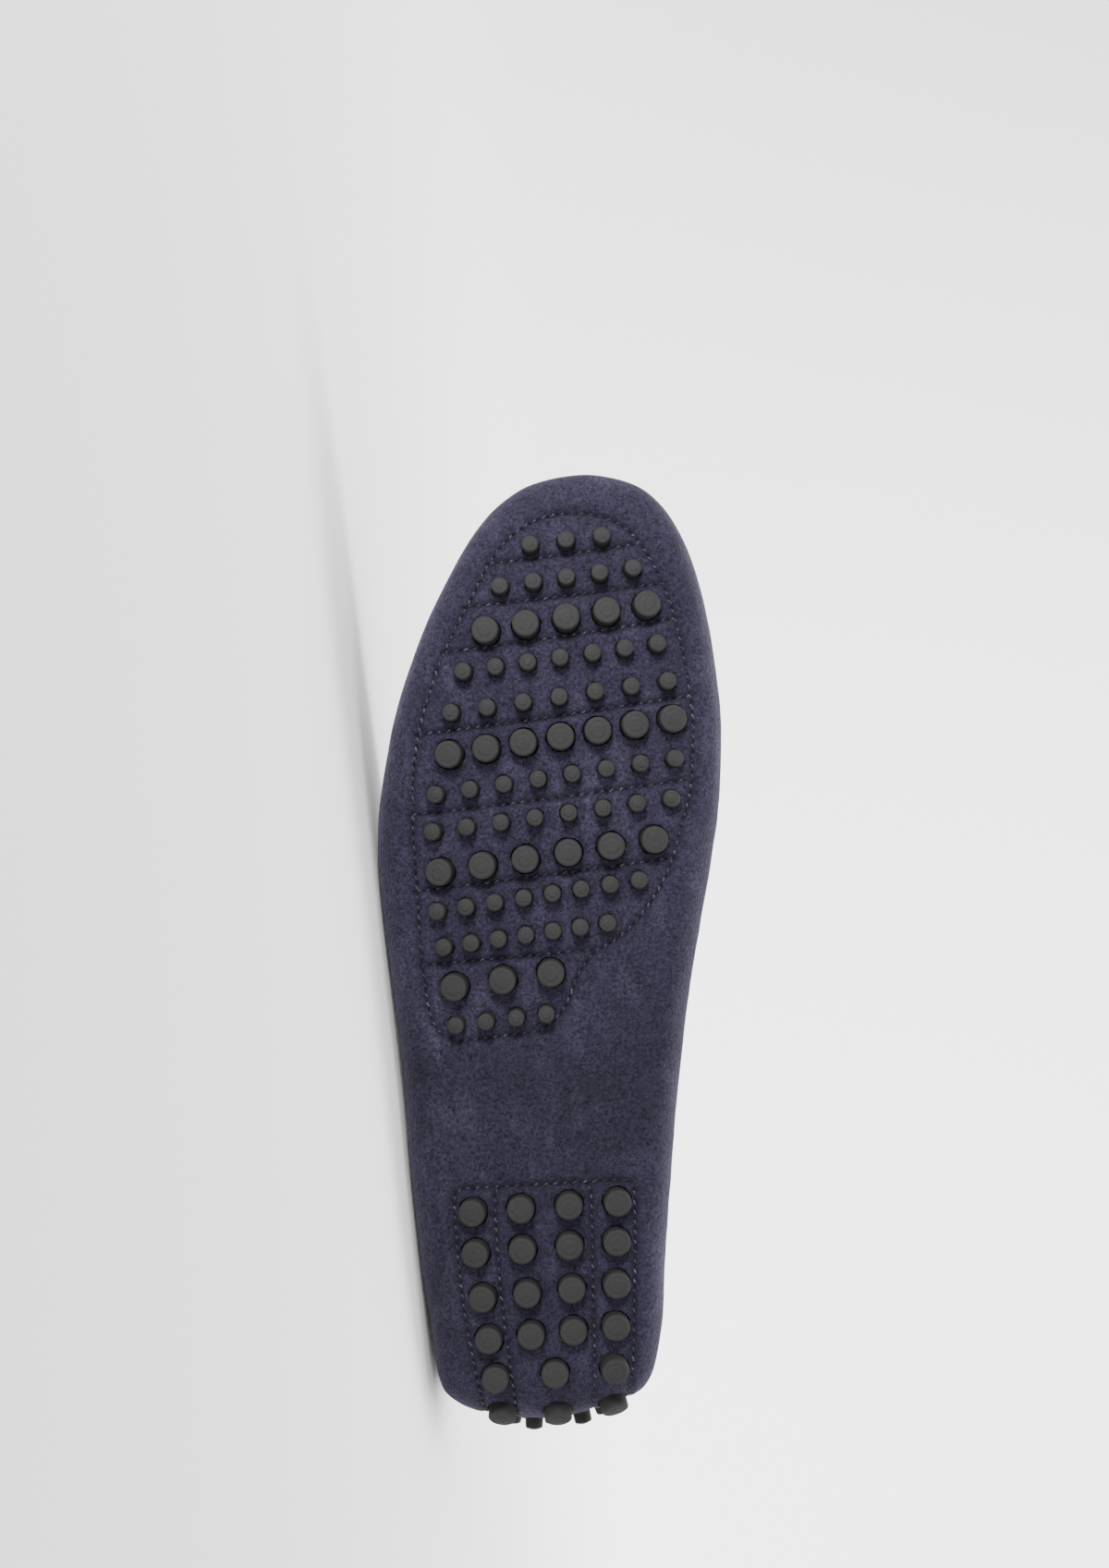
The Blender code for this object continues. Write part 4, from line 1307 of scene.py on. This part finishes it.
def add_stitch(sheet, start, end, normal, draw):
    """One stitch from needle hole to needle hole, standing a little proud between them, with a
    dark disc of painted shade over its first hole.
    """
    middle = (start + end) / 2
    slant = STITCH_SLANT * (1 + draw.uniform(-1, 1) * THREAD_VARIES)
    along = Matrix.Rotation(slant, 3, normal) @ (end - start)
    along *= 1 + draw.uniform(-1, 0.5) * THREAD_VARIES
    thick = THREAD_RADIUS * (1 + draw.uniform(-1, 0.5) * THREAD_VARIES)
    points = []
    radii = []
    for step in range(THREAD_RINGS):
        part = step / (THREAD_RINGS - 1)
        arch = math.sin(math.pi * part) ** 0.5
        height = -STITCH_SUNK + (STITCH_SUNK + STITCH_PROUD) * arch
        points.append(middle + along * (part - 0.5) * STITCH_LENGTH / STITCH_PITCH
                      + normal * height)
        radii.append(thick * (THREAD_END + (1 - THREAD_END) * arch))
    add_tube(sheet, points, radii, THREAD_SIDES)
    ahead = (end - start).normalized()
    # Dark disc of painted shade over the needle hole at the stitch's start
    turn = Matrix((ahead * NEEDLE_STRETCH, normal.cross(ahead), normal)).transposed()
    hole = Matrix.Translation(start + normal * NEEDLE_LIFT) @ turn.to_4x4()
    made = bmesh.ops.create_cone(sheet, cap_ends=True, segments=NEEDLE_SIDES,
                                 radius1=NEEDLE_RADIUS, radius2=NEEDLE_RADIUS * NEEDLE_TAPER,
                                 depth=NEEDLE_DEPTH, matrix=hole)
    for corner in made["verts"]:
        for face in corner.link_faces:
            face.material_index = 1


def stitching_mesh(name, paths, draw):
    """Row of stitches along each of the paths."""
    sheet = bmesh.new()
    for path in paths:
        spots = even_places(path, STITCH_PITCH)
        for (start, normal), (end, _) in zip(spots, spots[1:]):
            add_stitch(sheet, start, end, normal, draw)
    return finished_mesh(sheet, name)


stitch_draw = random.Random(11)
pad_stitches = stitching_mesh("pad_stitching", seam_paths(suede_tree), stitch_draw)
pad_stitching = add_piece("pad_stitching", pad_stitches, [navy_thread, needle_hole_shade])
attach(pad_stitching, "root")

# The inner sole
# A leather-covered board over both pads, cut a little inside the wall all round and
# softly dished at its edge.
INSOLE_THICKNESS = 0.0020
INSOLE_MARGIN = 0.0035
SEAT_GAP = 0.0003
INSOLE_LINES = 120
INSOLE_COLUMNS = 24
INSOLE_DISH = 0.0010
INSOLE_DISH_POWER = 6
INSOLE_TIP = 0.4


insole_points = []
for step in range(INSOLE_LINES + 1):
    turn = math.pi * (step + INSOLE_TIP) / (INSOLE_LINES + 2 * INSOLE_TIP)
    share = (1 - math.cos(turn)) / 2
    inner = feather_point(share, 1)
    outer = feather_point(share, -1)
    middle = (inner + outer) / 2
    for column in range(INSOLE_COLUMNS + 1):
        across = 1 - 2 * column / INSOLE_COLUMNS
        reach = (inner - middle) * across * (1 - INSOLE_MARGIN / HALF_BALL)
        lift = WALL + PAD_GAP + PAD_THICKNESS + SEAT_GAP + INSOLE_THICKNESS
        lift += INSOLE_DISH * across ** INSOLE_DISH_POWER
        insole_points.append(middle + reach + Vector((0, 0, lift)))
insole_mesh = outward_mesh("insole_sock", insole_points,
                           sheet_faces(INSOLE_LINES + 1, INSOLE_COLUMNS + 1),
                           Vector((0, 0, 1)))
insole_sock = thickened(add_piece("insole_sock", insole_mesh, [tan_lining]), INSOLE_THICKNESS)
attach(insole_sock, "root")
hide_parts("insole")

# The heel lining
# A thin tan leather counter inside the quarters. It covers the heel pad where this turns up
# the back, and is skived away towards the waist.
LINING_THICKNESS = 0.0008
LINING_SHARE = 0.30
LINING_FULL = 0.06
LINING_TOP = 1.93
LINING_LINES = 90
LINING_ROWS = 30

lining_points = []
lining_insets = []
for row in range(LINING_ROWS + 1):
    level = LINING_TOP * row / LINING_ROWS
    for line in range(LINING_LINES + 1):
        turn = 2 * line / LINING_LINES - 1
        share = LINING_SHARE * turn ** 2
        lining_points.append(skin_point(share, 1 if turn < 0 else -1, level))
        blend = min(max((share - LINING_FULL) / (LINING_SHARE - LINING_FULL), 0.0), 1.0)
        lining_insets.append(WALL + SEAT_GAP + (PAD_GAP + PAD_THICKNESS) * (1 - blend))
lining_mesh = outward_mesh("heel_lining", lining_points,
                           sheet_faces(LINING_ROWS + 1, LINING_LINES + 1), Vector((-1, 0, 0)))
for corner, normal, inset in zip(lining_mesh.vertices,
                                 [vertex.normal.copy() for vertex in lining_mesh.vertices],
                                 lining_insets):
    corner.co -= normal * inset
heel_lining = thickened(add_piece("heel_lining", lining_mesh, [tan_lining]), LINING_THICKNESS)
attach(heel_lining, "root")

# The apron
# The plug of the same suede over the toes and instep. Its raw edge is turned up beside the
# wrap's, and at the throat it ends in a short tongue.
GAP = 0.0003
APRON_THICKNESS = 0.0016
APRON_LIFT = 0.0004
TONGUE_LENGTH = 0.009
SHARE_STEP = 0.002
APRON_LINES = 150
APRON_COLUMNS = 60
APRON_SWELL = 0.0004
APRON_SWELL_SIZE = 0.022
APRON_END = 0.985
EDGE_TURN = 0.0022
EDGE_TURN_WIDTH = 0.0016
TOE_POINT = 0.0001


def rim_inward(share, side):
    """Level direction at the rim that points into the shoe."""
    if share >= 1.0:
        return Vector((-1, 0))
    before = rim_point(max(share - SHARE_STEP, 0.0), side)
    after = rim_point(min(share + SHARE_STEP, 1.0), side)
    along = (after - before).xy
    return Vector((along.y, -along.x)).normalized() * side


def apron_edge(share, side):
    inward = rim_inward(share, side)
    here = rim_point(share, side)
    reach = WALL + GAP
    return Vector((here.x + inward.x * reach, here.y + inward.y * reach, here.z + APRON_LIFT))


apron_points = []
for step in range(APRON_LINES):
    part = step / (APRON_LINES - 1) * APRON_END
    share = THROAT + (1 - THROAT) * math.sin(part * math.pi / 2)
    inner = apron_edge(share, 1)
    outer = apron_edge(share, -1)
    width = (inner - outer).length
    for column in range(APRON_COLUMNS + 1):
        across = (1 - math.cos(math.pi * column / APRON_COLUMNS)) / 2
        crown = 4 * across * (1 - across)
        point = inner.lerp(outer, across)
        point.z += INSTEP_HEIGHT * crown_curve(share) * crown
        point.x -= TONGUE_LENGTH * crown * (1 - part) ** 2
        edge = min(across, 1 - across) * width
        from_toe = (1 - share) * (LENGTH - HEEL_LEAN - TOE_LEAN)
        edge = min(edge, from_toe + TOE_POINT)
        turned = math.exp(-(edge / EDGE_TURN_WIDTH) ** 2)
        point.z += EDGE_TURN * turned
        point.z += APRON_SWELL * noise.noise(point / APRON_SWELL_SIZE) * (1 - turned)
        apron_points.append(point)
apron_mesh = outward_mesh("suede_apron", apron_points,
                          sheet_faces(APRON_LINES, APRON_COLUMNS + 1), Vector((0, 0, 1)))
suede_apron = thickened(add_piece("suede_apron", apron_mesh, [navy_suede]), APRON_THICKNESS)
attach(suede_apron, "root")
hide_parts("apron")

# The toe seam
# The hand-sewn moccasin seam: stout waxed thread whipped over the two raised edges of the
# wrap and the apron, with the wrap gathered between the stitches round the toe.
WHIP_PITCH = 0.0052
WHIP_RADIUS = 0.00055
WHIP_REACH = 0.0022
WHIP_SLANT = 0.0011
WHIP_RINGS = 11
WHIP_SIDES = 8
WHIP_SWEEP = 1.5
WHIP_START = 0.25
WHIP_HEIGHT = 0.0012
WHIP_SUNK = 0.0002
ROUTE_SAMPLES = 200

seam_route = []
for side, steps in ((1, range(ROUTE_SAMPLES + 1)), (-1, range(ROUTE_SAMPLES - 1, -1, -1))):
    for step in steps:
        share = THROAT + (1 - THROAT) * math.sin(step / ROUTE_SAMPLES * math.pi / 2)
        inward = rim_inward(share, side)
        seam_route.append((lip_point(share, side), Vector((inward.x, inward.y, 0))))
whipping = bmesh.new()
for place, inward in even_places(seam_route, WHIP_PITCH):
    along = Vector((0, 0, 1)).cross(inward)
    middle = place + inward * (WALL + GAP / 2)
    points = []
    for step in range(WHIP_RINGS):
        turn = math.pi * (step / (WHIP_RINGS - 1) * WHIP_SWEEP - WHIP_START)
        reach = -inward * math.cos(turn) * WHIP_REACH
        lift = Vector((0, 0, math.sin(turn) * WHIP_HEIGHT - WHIP_SUNK))
        slant = along * (step / (WHIP_RINGS - 1) - 0.5) * 2 * WHIP_SLANT
        points.append(middle + reach + lift + slant)
    add_tube(whipping, points, [WHIP_RADIUS] * WHIP_RINGS, WHIP_SIDES)
whipping_mesh = finished_mesh(whipping, "toe_seam_thread")
toe_seam_thread = add_piece("toe_seam_thread", whipping_mesh, [navy_thread])
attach(toe_seam_thread, "root")

# The collar binding
# A strip of soft leather folded over the topline from the throat round the heel, and
# stitched through near its lower edge.
BINDING_RADIUS = 0.0016
BINDING_SKIRT = 0.0046
BINDING_PROUD = 0.0006
BINDING_END = THROAT - 0.01
BINDING_HEM = 0.0004
BINDING_SLIP = 0.00005
OUTER_HEM = 0.8
INNER_HEM = 0.97
FOLD_FLAT = 0.9
FOLD_STEP = 20
TOPLINE_STATIONS = 160
TOPLINE_LEVEL = 1.9
COLLAR_STITCH_PROUD = 0.0002
COLLAR_STITCH_UP = 0.0012
LEATHER = (0.0085, 0.0078, 0.0150, 1)
LEATHER_RUBBED = (0.0170, 0.0158, 0.0285, 1)
LEATHER_TONE = Grain(120.0, 3.0, 0.5, 0.0)
LEATHER_GRAIN = 750.0
LEATHER_HEIGHT = 0.00010


def binding_material():
    """Dyed leather with a fine pebble and a soft gloss."""
    material, tree, shader = new_material("navy_leather")
    places = object_places(tree)
    grain = add_node(tree, "ShaderNodeTexVoronoi", Vector=places, Scale=LEATHER_GRAIN)
    tone = add_noise(tree, places, LEATHER_TONE)
    tree.links.new(add_mix(tree, "MIX", tone, LEATHER, LEATHER_RUBBED),
                   shader.inputs["Base Color"])
    shader.inputs["Roughness"].default_value = 0.56
    shader.inputs["Specular IOR Level"].default_value = 0.25
    add_bump(tree, shader, grain.outputs["Distance"], LEATHER_HEIGHT, 0.7)
    return material


navy_leather = binding_material()


def topline_frames():
    """Place on the lip, outward direction and direction up the wall, round the topline."""
    places = [place for place in ring_places(TOPLINE_STATIONS) if place[0] < BINDING_END]
    inner = [place for place in places if place[1] > 0]
    outer = [place for place in places if place[1] < 0]
    frames = []
    for share, side in list(reversed(inner)) + list(reversed(outer)):
        top = lip_point(share, side)
        up = (top - skin_point(share, side, TOPLINE_LEVEL)).normalized()
        if 0 < share:
            inward = rim_inward(share, side)
            out = Vector((-inward.x, -inward.y, 0))
        else:
            out = Vector((-1, 0, 0))
        out = (out - up * out.dot(up)).normalized()
        frames.append((top, out, up))
    return frames


def binding_section():
    """Folded strip round the wall's top: outer face out and over, then back under."""
    inner_face = -WALL - BINDING_PROUD
    hem = BINDING_HEM - BINDING_SKIRT
    section = [(BINDING_SLIP, -BINDING_SKIRT), (BINDING_PROUD * OUTER_HEM, -BINDING_SKIRT),
               (BINDING_PROUD, hem)]
    for turn in range(0, 181, FOLD_STEP):
        angle = math.radians(turn)
        section.append((BINDING_RADIUS * math.cos(angle) - WALL / 2,
                        GAP + BINDING_RADIUS * FOLD_FLAT * math.sin(angle)))
    section += [(inner_face, hem), (inner_face * INNER_HEM, -BINDING_SKIRT),
                (-WALL - BINDING_SLIP, -BINDING_SKIRT), (-WALL - BINDING_SLIP, GAP / 2),
                (BINDING_SLIP, GAP / 2)]
    return section


binding = bmesh.new()
rings = []
for top, out, up in topline_frames():
    rings.append([binding.verts.new(top + out * across + up * along)
                  for across, along in binding_section()])
for low, high in zip(rings, rings[1:]):
    for step in range(len(low)):
        after = (step + 1) % len(low)
        binding.faces.new((low[step], low[after], high[after], high[step]))
binding.faces.new(rings[0])
binding.faces.new(list(reversed(rings[-1])))
bmesh.ops.recalc_face_normals(binding, faces=binding.faces)
binding_mesh = finished_mesh(binding, "collar_strip")
collar_strip = add_piece("collar_strip", binding_mesh, [navy_leather], 50)
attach(collar_strip, "root")
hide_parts("collar_binding")

collar_route = [(top + out * (BINDING_PROUD + COLLAR_STITCH_PROUD)
                 - up * (BINDING_SKIRT - COLLAR_STITCH_UP), out)
                for top, out, up in topline_frames()]
collar_stitches = stitching_mesh("collar_stitching", [collar_route], stitch_draw)
collar_stitching = add_piece("collar_stitching", collar_stitches, [navy_thread, needle_hole_shade])
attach(collar_stitching, "root")

# Camera
# It looks up at the sole, square to it under the ball and turned so that the toe is on top.
CAMERA_STATION = 0.1963
CAMERA_SIDE = 0.0140
AIM_STATION = 0.1933
CAMERA_DISTANCE = 1.0
LENS = 76.65
SENSOR = 36
eye = Vector((CAMERA_STATION, CAMERA_SIDE, -CAMERA_DISTANCE))
forward = (Vector((AIM_STATION, 0, 0)) - eye).normalized()
right = forward.cross(Vector((1, 0, 0))).normalized()
above = right.cross(forward)
camera_data = bpy.data.cameras.new("camera")
camera_data.lens = LENS
camera_data.sensor_width = SENSOR
camera = linked("camera", camera_data)
turned = Matrix((right, above, -forward)).transposed().to_4x4()
camera.matrix_world = pose @ (Matrix.Translation(eye) @ turned)
bpy.context.scene.camera = camera

# Studio
# A plain pale sheet that runs out under the shoe and curves up behind it, with soft lights: the
# main one past the toe, a faint one past the heel, a large one above and one on the sheet.
FLOOR_REACH = 3.0
BACK_REACH = 1.9
COVE = 1.0
BACK_HEIGHT = 3.2
COVE_STEP = 2
PAPER = (0.80, 0.80, 0.80, 1)
ROOM = (0.95, 0.95, 1.0, 1)
ROOM_LIGHT = 0.05


def paper_material():
    """Matt pale paper, the same all over."""
    material, _, shader = new_material("pale_paper")
    shader.inputs["Base Color"].default_value = PAPER
    shader.inputs["Specular IOR Level"].default_value = 0.0
    shader.inputs["Roughness"].default_value = 0.9
    return material


floor_level = min(vertex.co.z for vertex in suede_wrap.data.vertices)
profile = [(-FLOOR_REACH, 0.0)]
for turn in range(0, 91, COVE_STEP):
    angle = math.radians(turn)
    profile.append((BACK_REACH - COVE + COVE * math.sin(angle), COVE * (1 - math.cos(angle))))
profile.append((BACK_REACH, BACK_HEIGHT))
paper_points = []
for x in (-FLOOR_REACH, FLOOR_REACH):
    paper_points += [Vector((x, y, z + floor_level)) for y, z in profile]
paper_faces = []
for step in range(len(profile) - 1):
    paper_faces.append((step, step + 1, len(profile) + step + 1, len(profile) + step))
paper_mesh = local_mesh("paper", paper_points, paper_faces)
paper_mesh.materials.append(paper_material())
paper_mesh.shade_smooth()
paper = linked("paper", paper_mesh)

Lamp = namedtuple("Lamp", "name place aim size power")
LAMPS = (
    Lamp("toe_light", (-1.00, -0.85, 0.12), (0.00, 0.00, 0.05), 0.37, 54.0),
    Lamp("heel_light", (0.60, -0.70, 0.15), (0.00, 0.00, 0.05), 0.90, 14.0),
    Lamp("top_light", (0.05, 0.20, 1.25), (0.00, 0.00, 0.05), 2.00, 42.0),
    Lamp("back_light", (0.60, 0.60, 1.30), (0.35, 1.80, 0.30), 1.20, 90.0),
)
for lamp in LAMPS:
    data = bpy.data.lights.new(lamp.name, "AREA")
    data.energy = lamp.power
    data.size = lamp.size
    light = linked(lamp.name, data)
    light.location = lamp.place
    light.visible_camera = False
    aim = Vector(lamp.aim) - light.location
    light.rotation_euler = aim.to_track_quat("-Z", "Y").to_euler()
world = bpy.data.worlds.new("studio")
world.use_nodes = True
room = world.node_tree.nodes["Background"]
room.inputs["Color"].default_value = ROOM
room.inputs["Strength"].default_value = ROOM_LIGHT
bpy.context.scene.world = world
